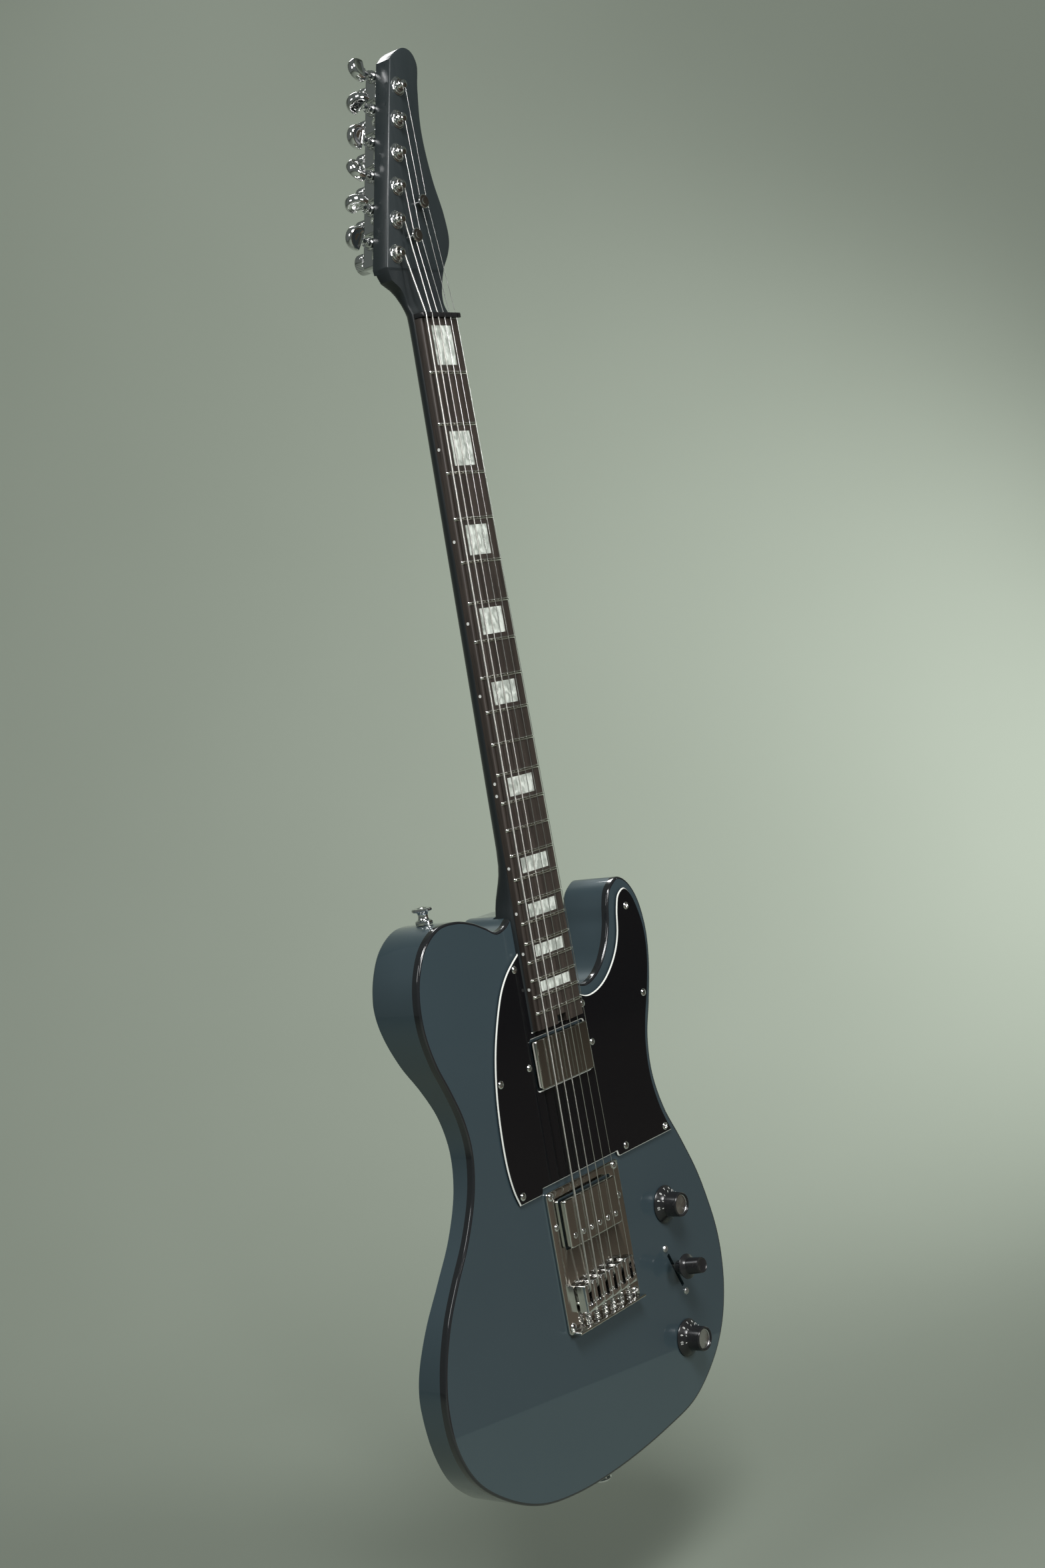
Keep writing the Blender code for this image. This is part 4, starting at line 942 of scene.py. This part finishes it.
@dataclass
class Neck:
    """Shaft, headstock, board, frets, inlays and nut."""

    around: int = 40

    def ring(self, z: float, sides: tuple[float, float], top: float, back: float, square: float) -> np.ndarray:
        """One section: a superellipse arc under a flat top.

        Args:
            z: height of the section.
            sides: x of its left and right edge.
            top: depth of its flat top.
            back: depth of its back.
            square: 0 for an ellipse, towards 1 for a box.

        Returns:
            The ring's places.
        """
        angles = np.linspace(0, math.pi, self.around)
        power = 1.0 - 0.84 * square
        middle, half = (sides[0] + sides[1]) / 2, (sides[1] - sides[0]) / 2
        x = middle - half * np.sign(np.cos(angles)) * np.abs(np.cos(angles)) ** power
        y = top + 0.8 + (back - top - 0.8) * np.sin(angles) ** power
        arc = np.stack([x, y, np.full(self.around, z)], axis=1)
        return np.vstack([[sides[0] + 0.4, top, z], arc, [sides[1] - 0.4, top, z]])

    def head_sides(self, z: float) -> tuple[float, float]:
        """The headstock outline's left and right edge at a height near its foot."""
        left = smooth_line(HEAD_LEFT, 8)[::-1]
        right = smooth_line(HEAD_RIGHT, 8)[:40]
        return float(np.interp(z, left[:, 1], left[:, 0])), float(np.interp(z, right[:, 1], right[:, 0]))

    def build(self) -> None:
        """Make the painted shaft and the painted headstock blade that meets it, as two pieces."""
        top = BOARD_BACK_Y + 0.02
        stations = [(BOARD_END_Z, HEEL_HALF, top, POCKET_FLOOR_Y, 0.96), (426, HEEL_HALF, top, POCKET_FLOOR_Y, 0.96),
                    (432, 27.3, top, POCKET_FLOOR_Y - 0.1, 0.94)]
        for z, back, square in ((438, 15.6, 0.84), (444, 15.1, 0.66), (450, 14.7, 0.45), (456, 14.3, 0.26), (463, 14.1, 0.12),
                                (475, 13.9, 0.04), (620, 13.3, 0.0), (760, 12.6, 0.0), (846, 12.1, 0.0), (860, 12.1, 0.02),
                                (868, 12.3, 0.06)):
            stations.append((z, float(board_half(z)), top, back, square))
        rings = [self.ring(z, (-half, half), *rest) for z, half, *rest in stations]
        for z, face, back, square in ((871, -1.6, 12.5, 0.12), (874, -0.2, 12.8, 0.2), (877, 0.7, 13.2, 0.3),
                                      (880, 1.2, 13.7, 0.42), (884, HEAD_FACE_Y, 14.4, 0.58), (888, HEAD_FACE_Y, 15.0, 0.72),
                                      (893, HEAD_FACE_Y, 15.5, 0.84), (898, HEAD_FACE_Y, 15.8, 0.93), (902.4, HEAD_FACE_Y, 15.9, 0.97)):
            rings.append(self.ring(z, self.head_sides(max(z, 876.0)), face, back, square))
        shaft = skin("neck_shaft", np.array(rings))
        fit(shaft, "neck", nodes=("neck",))
        outline = np.vstack([np.array(HEAD_TIP), smooth_line(HEAD_LEFT, 8), smooth_line(HEAD_RIGHT, 8)[:-1]])[::-1]
        outline = outline[outline[:, 1] > 898.0]
        head = sheet("headstock_blade", [outline], HEAD_FACE_Y, HEAD_BACK_Y, 1.2)
        fit(head, "head")

    def crowned(self, name: str, low: float, high: float, half: tuple, drop: float, back: float,
                edge: float = 0.0) -> bpy.types.Object:
        """A bar with the board's curve on top and softened long edges."""
        rings = []
        for z in np.linspace(low, high, 24 if edge else 2):
            wide = half[0] + (half[1] - half[0]) * (z - low) / (high - low)
            x = np.linspace(-wide + edge, wide - edge, 25)
            y = board_y(x) + drop
            parts = [np.stack([x, y], axis=1)]
            if edge:
                bend = np.linspace(0, math.pi / 2, 6)[1:]
                corner = np.stack([wide - edge + edge * np.sin(bend), y[-1] + edge * (1 - np.cos(bend))], axis=1)
                parts.append(corner)
                parts.append(np.array([[wide, back], [-wide, back]]))
                parts.append(corner[::-1] * np.array([-1, 1]))
            else:
                parts.append(np.array([[wide, back], [-wide, back]]))
            flat = np.vstack(parts)
            rings.append(np.stack([flat[:, 0], flat[:, 1], np.full(len(flat), z)], axis=1))
        return skin(name, np.array(rings))

    def fret(self, number: int) -> bpy.types.Object:
        """A fret: a round crown that follows the board, bevelled at its ends."""
        z = fret_z(number)
        half = float(board_half(z)) - 0.1
        x = np.concatenate([[-half, -half + 0.7], np.linspace(-half + 1.6, half - 1.6, 17), [half - 0.7, half]])
        lift = np.concatenate([[0.12, 0.75], np.ones(17), [0.75, 0.12]])
        angles = np.linspace(0, math.pi, 9)
        edge_drop = np.concatenate([[0.9, 0.35], np.zeros(17), [0.35, 0.9]])
        rings = np.stack([np.repeat(x[:, None], 9, 1),
                          board_y(x)[:, None] + edge_drop[:, None] + 0.05 - 1.15 * lift[:, None] * np.sin(angles)[None, :],
                          z - 1.25 * np.cos(angles)[None, :] * np.ones(len(x))[:, None]], axis=2)
        return skin(f"fret_{number}", rings)

    def dress_board(self) -> None:
        """Make the board, its frets, blocks, side dots, nut and truss rod wheel."""
        board = self.crowned("ebony_board", BOARD_END_Z, NUT_Z - 0.3, (BOARD_END_HALF, NUT_HALF), 0.0, BOARD_BACK_Y, 1.3)
        notch = block("notch", (-5.2, 5.2), (-14, 2), (330, 346), 0.4)
        fit(cut(board, notch), "ebony", nodes=("fingerboard",))
        fit(merged("fret_wires", [self.fret(number) for number in range(1, FRET_COUNT + 1)]), "fret")
        blocks, dots = [], []
        for number in MARKED_FRETS:
            low, high = fret_z(number), fret_z(number - 1)
            share = (number - 1) / 20.0
            long = (high - low) * (0.36 - 0.06 * share)
            wide = 11.0 + 6.4 * share
            middle = (low + high) / 2
            blocks.append(self.crowned(f"block_{number}", middle - long, middle + long, (wide, wide), -0.03, BOARD_TOP_Y + 1.5))
            for z in ([middle - 4.5, middle + 4.5] if number == 12 else [middle] * (number > 1)):
                side = -float(board_half(z))
                dots.append(lathe(f"dot_{number}", [(1.2, 0.12), (1.2, -0.8)], (side, BOARD_TOP_Y + 3.9, z), (-1, 0, 0), 24))
        fit(merged("position_blocks", blocks), "pearl")
        fit(merged("side_dots", dots), "white")
        nut = block("nut_blank", (-21.6, 21.6), (-12.4, BOARD_BACK_Y), (NUT_Z, NUT_Z + 3.6), 0.5)
        slots = []
        for index, radius in enumerate(STRING_RADII):
            x = string_x(index, NUT_Z)
            slots.append(block(f"slot_{index}", (x - radius - 0.2, x + radius + 0.2), (-14, nut_y(index) + radius + 0.1),
                               (NUT_Z - 2, NUT_Z + 6), 0.05, 1))
        fit(cut(nut, *slots), "black", nodes=("nut",))
        wheel = lathe("wheel_body", [(1.6, 4.6), (4.2, 4.6), (4.9, 4.2), (4.9, -4.2), (4.2, -4.6), (1.6, -4.6)],
                      (0, 1.8, 345.5), (0, 0, 1), 60, 0.06, 10)
        fit(wheel, "steel", "truss_wheel", ("truss_rod_wheel",))


def nut_y(index: int) -> float:
    """Depth of a string's middle over the nut."""
    return -11.0 - STRING_RADII[index]


@dataclass
class Tuners:
    """Tuner cases, washers, posts, buttons, lock wheels and string guides."""

    def matrix(self, place: tuple[float, float]) -> Matrix:
        """Frame of one tuner: local +X points out to the button and +Z up the row."""
        outward_way = Vector((OUTWARD[0], 0.0, OUTWARD[1])).normalized()
        depth = Vector((0.0, 1.0, 0.0))
        up = outward_way.cross(depth)
        up = -up if up.z < 0 else up
        turn = Matrix((outward_way, depth, up)).transposed().to_4x4()
        return Matrix.Translation(Vector((place[0], 0.0, place[1])) * MM) @ turn

    def button(self, turn: float) -> bpy.types.Object:
        """A D-shaped thumb button: rings of a half-ellipse outline, dished at its edge, on a stepped shaft."""
        angles = np.linspace(-math.pi / 2, math.pi / 2, 29)
        arc = np.stack([18.8 + 11.8 * np.cos(angles) ** 0.8, 8.9 * np.sin(angles)], axis=1)
        flat = np.array([(18.2, 8.1), (17.9, 4.0), (17.9, -4.0), (18.2, -8.1)])
        outline = np.vstack([arc, flat])
        middle = np.array([23.0, 0.0])
        rings = []
        for share, depth in ((0.3, -2.9), (0.62, -2.9), (0.74, -3.3), (0.86, -3.2), (0.95, -2.5), (1.0, -1.3), (1.0, 1.3),
                             (0.95, 2.5), (0.86, 3.2), (0.74, 3.3), (0.62, 2.9), (0.3, 2.9)):
            ring = middle + (outline - middle) * share
            rings.append(np.stack([ring[:, 0], np.full(len(ring), depth), ring[:, 1]], axis=1))
        knob = skin("thumb", np.array(rings))
        shaft = lathe("shaft", [(2.2, 18.6), (3.0, 18.4), (3.4, 17.6), (2.4, 16.6), (2.2, 12.4), (3.6, 12.0), (3.8, 10.4),
                                (3.6, 8.8), (2.2, 8.4), (2.2, 2.2)], (0, 0, 0), (1, 0, 0), 32)
        whole = merged("button", [knob, shaft])
        moved(whole, Matrix.Rotation(math.radians(turn), 4, "X"))
        return moved(whole, Matrix.Translation((0, WORM_Y * MM, WORM_OFFSET * MM)))

    def build(self) -> None:
        """Make and dress all six tuners and the two guides."""
        cases, washers = [], []
        for index, place in enumerate(post_places()):
            number = index + 1
            frame_matrix = self.matrix(place)
            outline = rounded_rectangle(-7.5, 7.5, -8.4, 14.6, 3.1)
            cases.append(moved(sheet("case", [outline], HEAD_BACK_Y - 0.5, 27.3, 1.3), frame_matrix))
            barrel = lathe("barrel", [(4.6, 9.5), (4.8, 8.9), (4.8, 4.0)], (0, WORM_Y, WORM_OFFSET), (1, 0, 0), 32)
            cases.append(moved(barrel, frame_matrix))
            place3 = (place[0], HEAD_FACE_Y, place[1])
            washers.append(lathe("washer", [(3.6, 3.0), (4.5, 3.0), (4.9, 2.7), (5.0, 1.9), (5.4, 1.7), (5.6, 1.4), (5.7, 0.9),
                                            (6.4, 0.8), (6.8, 0.5), (6.8, -0.4)], place3, (0, -1, 0)))
            post = lathe(f"post_{number}_turned", [(0.01, 7.0), (2.4, 7.0), (2.9, 6.7), (3.1, 6.2), (2.7, 5.0), (2.55, 4.0), (2.7, 3.0),
                                                   (3.1, 2.4), (3.1, -12.0), (3.1, -25.4)], place3, (0, -1, 0))
            hole = moved(block("bore", (-6, 6), (-4.6, -3.2), (-0.6, 0.6), 0.05, 1), Matrix.Translation((place[0] * MM, 0, place[1] * MM)))
            fit(cut(post, hole), "chrome", f"post_{number}", (f"string_post_{number}",))
            thumb = moved(self.button(BUTTON_TURNS[index]), frame_matrix)
            thumb.name = f"thumb_button_{number}"
            fit(thumb, "chrome", f"button_{number}", (f"tuner_button_{number}",))
            wheel = lathe(f"wheel_{number}_knurled", [(0.01, 8.2), (4.6, 8.2), (5.0, 9.0), (6.4, 9.0), (7.3, 8.4), (7.5, 7.8), (7.5, 2.0),
                                                      (7.2, 1.2), (6.4, 0.8)], (place[0], 27.3, place[1]), (0, 1, 0), 160, 0.018, 40)
            fit(wheel, "chrome", f"lock_{number}", (f"lock_wheel_{number}",))
        fit(merged("tuner_cases", cases), "chrome")
        fit(merged("post_washers", washers), "chrome")
        guides = []
        for x, z in TREE_PLACES:
            guides.append(lathe("guide_stem", [(0.01, 7.6), (2.4, 7.4), (2.7, 6.6), (1.2, 6.2), (1.2, -4.0)], (x, HEAD_FACE_Y, z), (0, -1, 0)))
            guides.append(lathe("guide_disc", [(2.4, 7.0), (4.6, 7.0), (5.2, 6.6), (5.4, 6.0), (5.0, 5.5), (2.0, 5.3)],
                                (x, HEAD_FACE_Y, z), (0, -1, 0)))
        fit(merged("string_guides", guides), "chrome")


@dataclass
class Bridge:
    """Bridge plate, saddles, springs and screws."""

    plate_thick: float = 1.8
    spring_turns: int = 7

    def build(self) -> None:
        """Make the plate with its lip and the screws it carries."""
        window = rounded_rectangle(-PICKUP_HALF_X - 0.8, PICKUP_HALF_X + 0.8, BRIDGE_PICKUP_Z - PICKUP_HALF_Z - 0.8,
                                   BRIDGE_PICKUP_Z + PICKUP_HALF_Z + 0.8, 2.2)
        outline = rounded_rectangle(-PLATE_HALF, PLATE_HALF, PLATE_LOW_Z, PLATE_HIGH_Z, 3.0)
        base = sheet("plate_sheet", [outline, window], -self.plate_thick - 0.3, -0.3, 0.35)
        fit(base, "bridge", nodes=("bridge_plate",))
        lip = block("plate_lip", (-PLATE_HALF + 3, PLATE_HALF - 3), (-10.0, -1.0), (PLATE_LOW_Z + 0.1, PLATE_LOW_Z + 1.9), 0.5, 3)
        fit(lip, "bridge")
        heads = [screw_head(f"plate_head_{i}", (x, -2.0, z), (0, -1, 0), 3.4, 1.5, 0.6 * i) for i, (x, z) in enumerate(BRIDGE_SCREWS)]
        heads += [screw_head(f"pickup_head_{side}", (side * PICKUP_SCREW_X, -2.0, BRIDGE_PICKUP_Z), (0, -1, 0), 2.8) for side in (-1, 1)]
        for index in range(6):
            x = BRIDGE_PITCH * (index - 2.5)
            heads.append(screw_head(f"length_head_{index}", (x, -6.2, PLATE_LOW_Z), (0, 0, -1), 2.3, 1.6, 0.3 * index))
            heads.append(lathe("length_screw", [(1.2, 0.0), (1.2, 18.0)], (x, -6.2, PLATE_LOW_Z + 1.0), (0, 0, 1), 20))
        fit(merged("bridge_hardware", heads), "chrome")
        for index in range(6):
            self.saddle(index)

    def saddle(self, index: int) -> None:
        """Make one saddle: a block with a string slot, two set screws and its spring."""
        x = BRIDGE_PITCH * (index - 2.5)
        front = SADDLE_CONTACT_Z[index] + 2.0
        back = front - 20.5
        piece = block(f"saddle_{index + 1}_block", (x - 5.1, x + 5.1), (SADDLE_TOP_Y, -3.8), (back, front), 0.5, 3)
        slot = block("slot", (x - 1.7, x + 1.7), (-20, 0), (front - 17.0, front - 3.2), 1.2, 3)
        wells = [lathe("well", [(1.5, 3.0), (1.5, 0.0)], (x + side * 3.5, SADDLE_TOP_Y + 1.2, front - 14.0), (0, -1, 0), 24) for side in (-1, 1)]
        body = f"saddle_{index + 1}"
        fit(cut(piece, slot, *wells), "chrome", body, (body,))
        screws = [lathe("set_screw", [(0.7, -0.4), (0.8, 0.3), (1.3, 0.4), (1.35, 0.0), (1.35, -6.0)],
                        (x + side * 3.5, SADDLE_TOP_Y + 0.9, front - 14.0), (0, -1, 0), 24) for side in (-1, 1)]
        screws += [lathe("foot", [(1.1, 0.0), (1.1, 1.6)], (x + side * 3.5, -3.9, front - 14.0), (0, 1, 0), 16) for side in (-1, 1)]
        fit(merged(f"saddle_{index + 1}_screws", screws), "steel", body)
        low, high = PLATE_LOW_Z + 2.4, back - 0.6
        turn = np.linspace(0, 1, self.spring_turns * 22)
        angle = turn * math.tau * self.spring_turns
        path = np.stack([x + 2.1 * np.cos(angle), -6.2 + 2.1 * np.sin(angle), low + 0.4 + (high - low - 0.8) * turn], axis=1)
        spring = pipe(f"saddle_{index + 1}_coil", path, 0.36, 8)
        fit(spring, "steel", nodes=(f"saddle_spring_{index + 1}",))


@dataclass
class Pickups:
    """The two covered pickups."""

    def build(self) -> None:
        """Make both covers, and the bridge pickup's row of screws."""
        for name, z, top in (("neck_pickup", NECK_PICKUP_Z, -6.5), ("bridge_pickup", BRIDGE_PICKUP_Z, -7.5)):
            outline = rounded_rectangle(-PICKUP_HALF_X, PICKUP_HALF_X, z - PICKUP_HALF_Z, z + PICKUP_HALF_Z, 2.5)
            levels = [(1.9, top), (1.3, top)] + quarter(1.3, 0.0, top, 1.0)[::-1] + [(0.0, 13.0)]
            fit(skin(name + "_shell", stacked(outline, levels)), "cover", name, (name,))
        poles = [screw_head(f"pole_{i}", (10.4 * (i - 2.5), -7.5, 184.8), (0, -1, 0), 2.3, 0.7, 0.4 * i) for i in range(6)]
        fit(merged("pole_screws", poles), "chrome", "bridge_pickup")


@dataclass
class Controls:
    """Knobs, switch and jack."""

    def knob(self, name: str, place: tuple[float, float]) -> None:
        """Make a knob: a turned skirt, a bright cap and its figures."""
        body = name.split("_")[0]
        skirt = [(8.0, 15.6), (8.3, 17.0), (8.9, 17.0), (9.3, 16.6), (9.5, 15.8), (9.8, 6.6), (10.4, 5.4), (12.4, 3.2),
                 (14.3, 1.5), (14.7, 0.9), (14.7, 0.6), (3.0, 0.6), (3.0, -11.0)]
        barrel = lathe(name + "_skirt", [(0.01, 15.0), (8.0, 15.0)] + skirt, (place[0], 0, place[1]), (0, -1, 0), 144)
        fit(barrel, "black", body, (name,))
        FINISHES[name + "_disc"] = SpunDisc(name + "_spun_disc", place)
        disc = lathe(name + "_disc", [(0.01, 15.35), (7.4, 15.35), (7.7, 15.6), (7.95, 15.3), (7.95, 14.8)],
                     (place[0], 0, place[1]), (0, -1, 0), 96)
        fit(disc, name + "_disc", body)
        marks = []
        for figure in range(1, 11):
            angle = math.radians(180.0 - (10 - figure) * 28.0)
            turn = Matrix.Translation(Vector((place[0], 0, place[1])) * MM) @ Matrix.Rotation(-angle, 4, "Y")
            tick = block("tick", (9.95, 10.0 + 1.6), (-6.25, -6.1), (-0.22, 0.22), 0.02, 1)
            moved(tick, Matrix.Rotation(0.0, 4, "Y"))
            marks.append(moved(tick, turn))
            marks.append(moved(self.figure(str(figure)), turn))
        fit(merged(name + "_figures", marks), "white", body)

    def figure(self, text: str) -> bpy.types.Object:
        """A small raised figure that stands on the skirt's slope, at +X of the knob's axis."""
        data = bpy.data.curves.new("figure", "FONT")
        data.body = text
        data.size = 2.9 * MM
        data.align_x = "CENTER"
        data.align_y = "CENTER"
        data.extrude = 0.05 * MM
        holder = bpy.data.objects.new("figure", data)
        slope = math.atan2(4.2, 4.6)
        lean = Matrix.Rotation(slope, 4, "Z") @ Matrix.Rotation(math.pi / 2, 4, "X")
        spin = Matrix.Rotation(-math.pi / 2, 4, "Z")
        holder.matrix_world = Matrix.Translation((12.5 * MM, -3.35 * MM, 0)) @ lean @ spin
        return made_mesh(holder, "figure")

    def build(self) -> None:
        """Make the knobs, the switch and the jack."""
        self.knob("volume_knob", VOLUME_AXIS)
        self.knob("tone_knob", TONE_AXIS)
        matrix = switch_matrix()
        heads = [moved(screw_head("switch_head", (0, -0.2, side * 22), (0, -1, 0), 2.8, 1.1, 0.8 * side), matrix) for side in (-1, 1)]
        fit(merged("switch_heads", heads), "chrome")
        pivot = Matrix.Translation((0, SWITCH_PIVOT_Y * MM, 0))
        place = matrix @ pivot @ Matrix.Rotation(-SWITCH_TILT, 4, "X") @ pivot.inverted()
        profile = [(0.01, 28.6), (4.6, 28.6), (5.2, 28.95), (5.8, 28.8), (6.1, 28.3), (6.4, 17.2), (6.9, 16.3), (8.9, 14.9),
                   (9.7, 14.2), (9.85, 13.6), (9.5, 13.0), (7.4, 12.0), (5.9, 11.0), (5.5, 10.2), (5.4, 5.4), (4.9, 4.95)]
        tip = lathe("switch_cap", profile, (0, 0, 0), (0, -1, 0), 64)
        fit(moved(tip, place), "black", "switch", ("switch_tip",))
        disc = lathe("jack_disc", [(6.4, 1.9), (13.8, 2.2), (14.8, 1.6), (15.0, 0.0), (6.4, 0.0), (6.4, 1.9)], (161.2, 24, JACK_Z), (1, 0, 0), 64)
        fit(disc, "chrome", nodes=("jack_plate",))
        socket = lathe("jack_sleeve", [(3.4, -26.0), (3.4, 0.3), (3.8, 0.6), (5.6, 0.6), (6.0, 0.2), (6.0, -30.0), (0.01, -30.0)],
                       (164.0, 24, JACK_Z), (1, 0, 0), 48)
        fit(socket, "chrome", nodes=("output_jack",))
        heads = [screw_head("jack_head", (163.3, y, JACK_Z), (1, 0, 0), 2.5, 0.9) for y in (12.5, 35.5)]
        fit(merged("jack_heads", heads), "chrome")


@dataclass
class Strings:
    """Six strings from the ball end to the post."""

    def path(self, index: int) -> np.ndarray:
        """The string's middle: straight runs with small bends, and a wrap round the post."""
        radius = STRING_RADII[index]
        bridge = BRIDGE_PITCH * (index - 2.5)
        nut = string_x(index, NUT_Z)
        contact = SADDLE_CONTACT_Z[index]
        saddle = SADDLE_TOP_Y - 0.3 - radius
        points = [(bridge, 43.0, STRING_HOLE_Z), (bridge, -2.0, STRING_HOLE_Z), (bridge, -4.2, STRING_HOLE_Z + 0.6),
                  (bridge, saddle + 3.0, contact - 4.2), (bridge, saddle + 0.8, contact - 2.5),
                  (bridge, saddle + 0.1, contact - 1.3), (bridge, saddle, contact + 0.6),
                  (nut, nut_y(index), NUT_Z + 0.5), (nut, nut_y(index), NUT_Z + 3.0), (nut, nut_y(index) + 0.5, NUT_Z + 5.0)]
        post_x, post_z = post_places()[index]
        wrap = POST_RADIUS + 0.3 + radius + 0.1
        wind = HEAD_FACE_Y - 4.0
        near = Vector((post_x - nut, post_z - NUT_Z)).normalized()
        side = Vector((near.y, -near.x))
        start = Vector((post_x, post_z)) + side * wrap
        for tree, pair in zip(TREE_PLACES, ((4, 5), (2, 3))):
            if index in pair:
                share = (tree[1] - NUT_Z) / (start.y - NUT_Z)
                points.append((nut + (start.x - nut) * share, -3.4, tree[1]))
        base = math.atan2(side.y, side.x)
        for step in range(13):
            angle = base + math.radians(16.0) * step
            points.append((post_x + wrap * math.cos(angle), wind, post_z + wrap * math.sin(angle)))
        return np.array(points)

    def build(self) -> None:
        """Make the strings: the low ones wound, the high ones plain."""
        for index, radius in enumerate(STRING_RADII):
            wire = pipe(f"string_{index + 1}_wire", self.path(index), radius, 14)
            fit(wire, "wound" if index < WOUND_STRINGS else "steel", nodes=(f"string_{index + 1}",))


@dataclass(frozen=True)
class Studio:
    """Camera, floor, backdrop and lamps."""

    place: tuple[float, float, float] = (-1215.74, -981.82, 615.64)
    turn: tuple[float, float, float] = (86.39806, 9.91820, -52.00350)
    lens: float = 48.5921

    def build(self) -> None:
        """Set the camera, a pale floor and soft lamps."""
        scene = bpy.context.scene
        data = bpy.data.cameras.new("camera")
        data.sensor_fit = "VERTICAL"
        data.sensor_height = 36.0
        data.lens = self.lens
        data.clip_start = 0.01
        camera = bpy.data.objects.new("camera", data)
        camera.location = Vector(self.place) * MM
        camera.rotation_euler = [math.radians(value) for value in self.turn]
        scene.collection.objects.link(camera)
        scene.camera = camera
        scene.view_settings.view_transform = "Standard"
        self.backdrop()
        self.card("wall_card", [(966, -3100, -150), (3234, -300, -150), (3234, -300, 1900), (966, -3100, 1900)],
                  (0.075, 0.056, 0.036), (0.016, 0.015, 0.013))
        self.card("floor_card", [(-300, -2600, -147), (-300, -660, -147), (2500, 330, -147), (2500, -2600, -147)],
                  (0.085, 0.062, 0.038), (0.030, 0.025, 0.019))
        world = bpy.data.worlds.new("studio")
        scene.world = world
        world.use_nodes = True
        tree = world.node_tree
        dim = tree.nodes["Background"]
        dim.inputs["Color"].default_value = (0.60, 0.68, 0.64, 1.0)
        dim.inputs["Strength"].default_value = 0.17
        pale = tree.nodes.new("ShaderNodeBackground")
        pale.inputs["Color"].default_value = (0.36, 0.41, 0.34, 1.0)
        seen = tree.nodes.new("ShaderNodeLightPath")
        choice = tree.nodes.new("ShaderNodeMixShader")
        tree.links.new(seen.outputs["Is Camera Ray"], choice.inputs[0])
        tree.links.new(dim.outputs[0], choice.inputs[1])
        tree.links.new(pale.outputs[0], choice.inputs[2])
        tree.links.new(choice.outputs[0], tree.nodes["World Output"].inputs["Surface"])
        for name, place, aim, size, power in (
                ("key", (-1250, -1500, 2800), (0, 0, 450), 1.0, 88.0), ("side", (-2300, 500, 1900), (0, 0, 450), 0.8, 11.0),
                ("fill", (250, -2600, 1300), (0, 0, 300), 0.8, 40.0), ("rim", (900, 1100, 2300), (0, 0, 700), 0.5, 8.0)):
            lamp = bpy.data.lights.new(name, "AREA")
            lamp.size = size
            lamp.energy = power
            holder = bpy.data.objects.new(name, lamp)
            holder.location = Vector(place) * MM
            aim_way = Vector(aim) - Vector(place)
            holder.rotation_euler = aim_way.to_track_quat("-Z", "Y").to_euler()
            scene.collection.objects.link(holder)
        pool = bpy.data.lights.new("pool", "SPOT")
        pool.energy = 300.0
        pool.spot_size = math.radians(70.0)
        pool.spot_blend = 1.0
        pool.shadow_soft_size = 0.2
        holder = bpy.data.objects.new("pool", pool)
        holder.location = Vector((1750, -1150, 750)) * MM
        toward = Vector((1050, 1180, 330)) - Vector((1750, -1150, 750))
        holder.rotation_euler = toward.to_track_quat("-Z", "Y").to_euler()
        scene.collection.objects.link(holder)

    def backdrop(self) -> None:
        """Make a seamless sweep: a floor that curves up into a wall behind the guitar."""
        bend = np.linspace(0, math.pi / 2, 25)
        depth = np.concatenate([[-4200.0, -1500.0], 700 + 1100 * np.sin(bend), [1800.0]])
        height = np.concatenate([[-150.0, -150.0], -150 + 1100 * (1 - np.cos(bend)), [4200.0]])
        away = np.array([0.78, 0.626])
        across = np.array([-0.626, 0.78])
        sides = np.array([-5200.0, 5200.0])
        flat = depth[:, None, None] * away + sides[None, :, None] * across
        rows = np.concatenate([flat, np.repeat(height[:, None, None], 2, axis=1)], axis=2)
        sweep = mesh_object("sweep", rows.reshape(-1, 3), grid_faces(len(depth), 2, around=False))
        plain = Shader("pale_sweep")
        plain.set(Base_Color=plain.mix(plain.noise(2.0, 3.0), (0.185, 0.212, 0.172), (0.205, 0.232, 0.192)), Roughness=0.8)
        sweep.data.materials.append(plain.material)

    def card(self, name: str, corners: list, low: tuple, high: tuple) -> None:
        """Make a dark card that shows only in reflections, and casts no shadow.

        Args:
            name: the object's name.
            corners: its four corners.
            low: one colour of its pattern.
            high: the other colour.
        """
        item = mesh_object(name, np.array(corners, dtype=float), [[0, 1, 2, 3]])
        shader = Shader(name)
        shader.set(Base_Color=shader.mix(shader.noise(1.6, 2.0), low, high), Roughness=0.9)
        item.data.materials.append(shader.material)
        item.visible_camera = False
        item.visible_diffuse = False
        item.visible_shadow = False


def dress_hidden_nodes() -> None:
    """Give the CAD nodes that still show a finish of their own."""
    for name in ("truss_rod", "volume_pot", "tone_pot", "switch_frame", "switch_lever"):
        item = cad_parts[name]
        for slot in item.material_slots:
            slot.material = material("hidden")


def main() -> None:
    """Build every sub-assembly."""
    logging.basicConfig(level=logging.INFO, format="%(message)s")
    Studio().build()
    body = Body()
    body.build()
    body.dress_guard()
    body.dress_back()
    neck = Neck()
    neck.build()
    neck.dress_board()
    Tuners().build()
    Bridge().build()
    Pickups().build()
    Controls().build()
    Strings().build()
    dress_hidden_nodes()


if __name__ == "__main__":
    main()
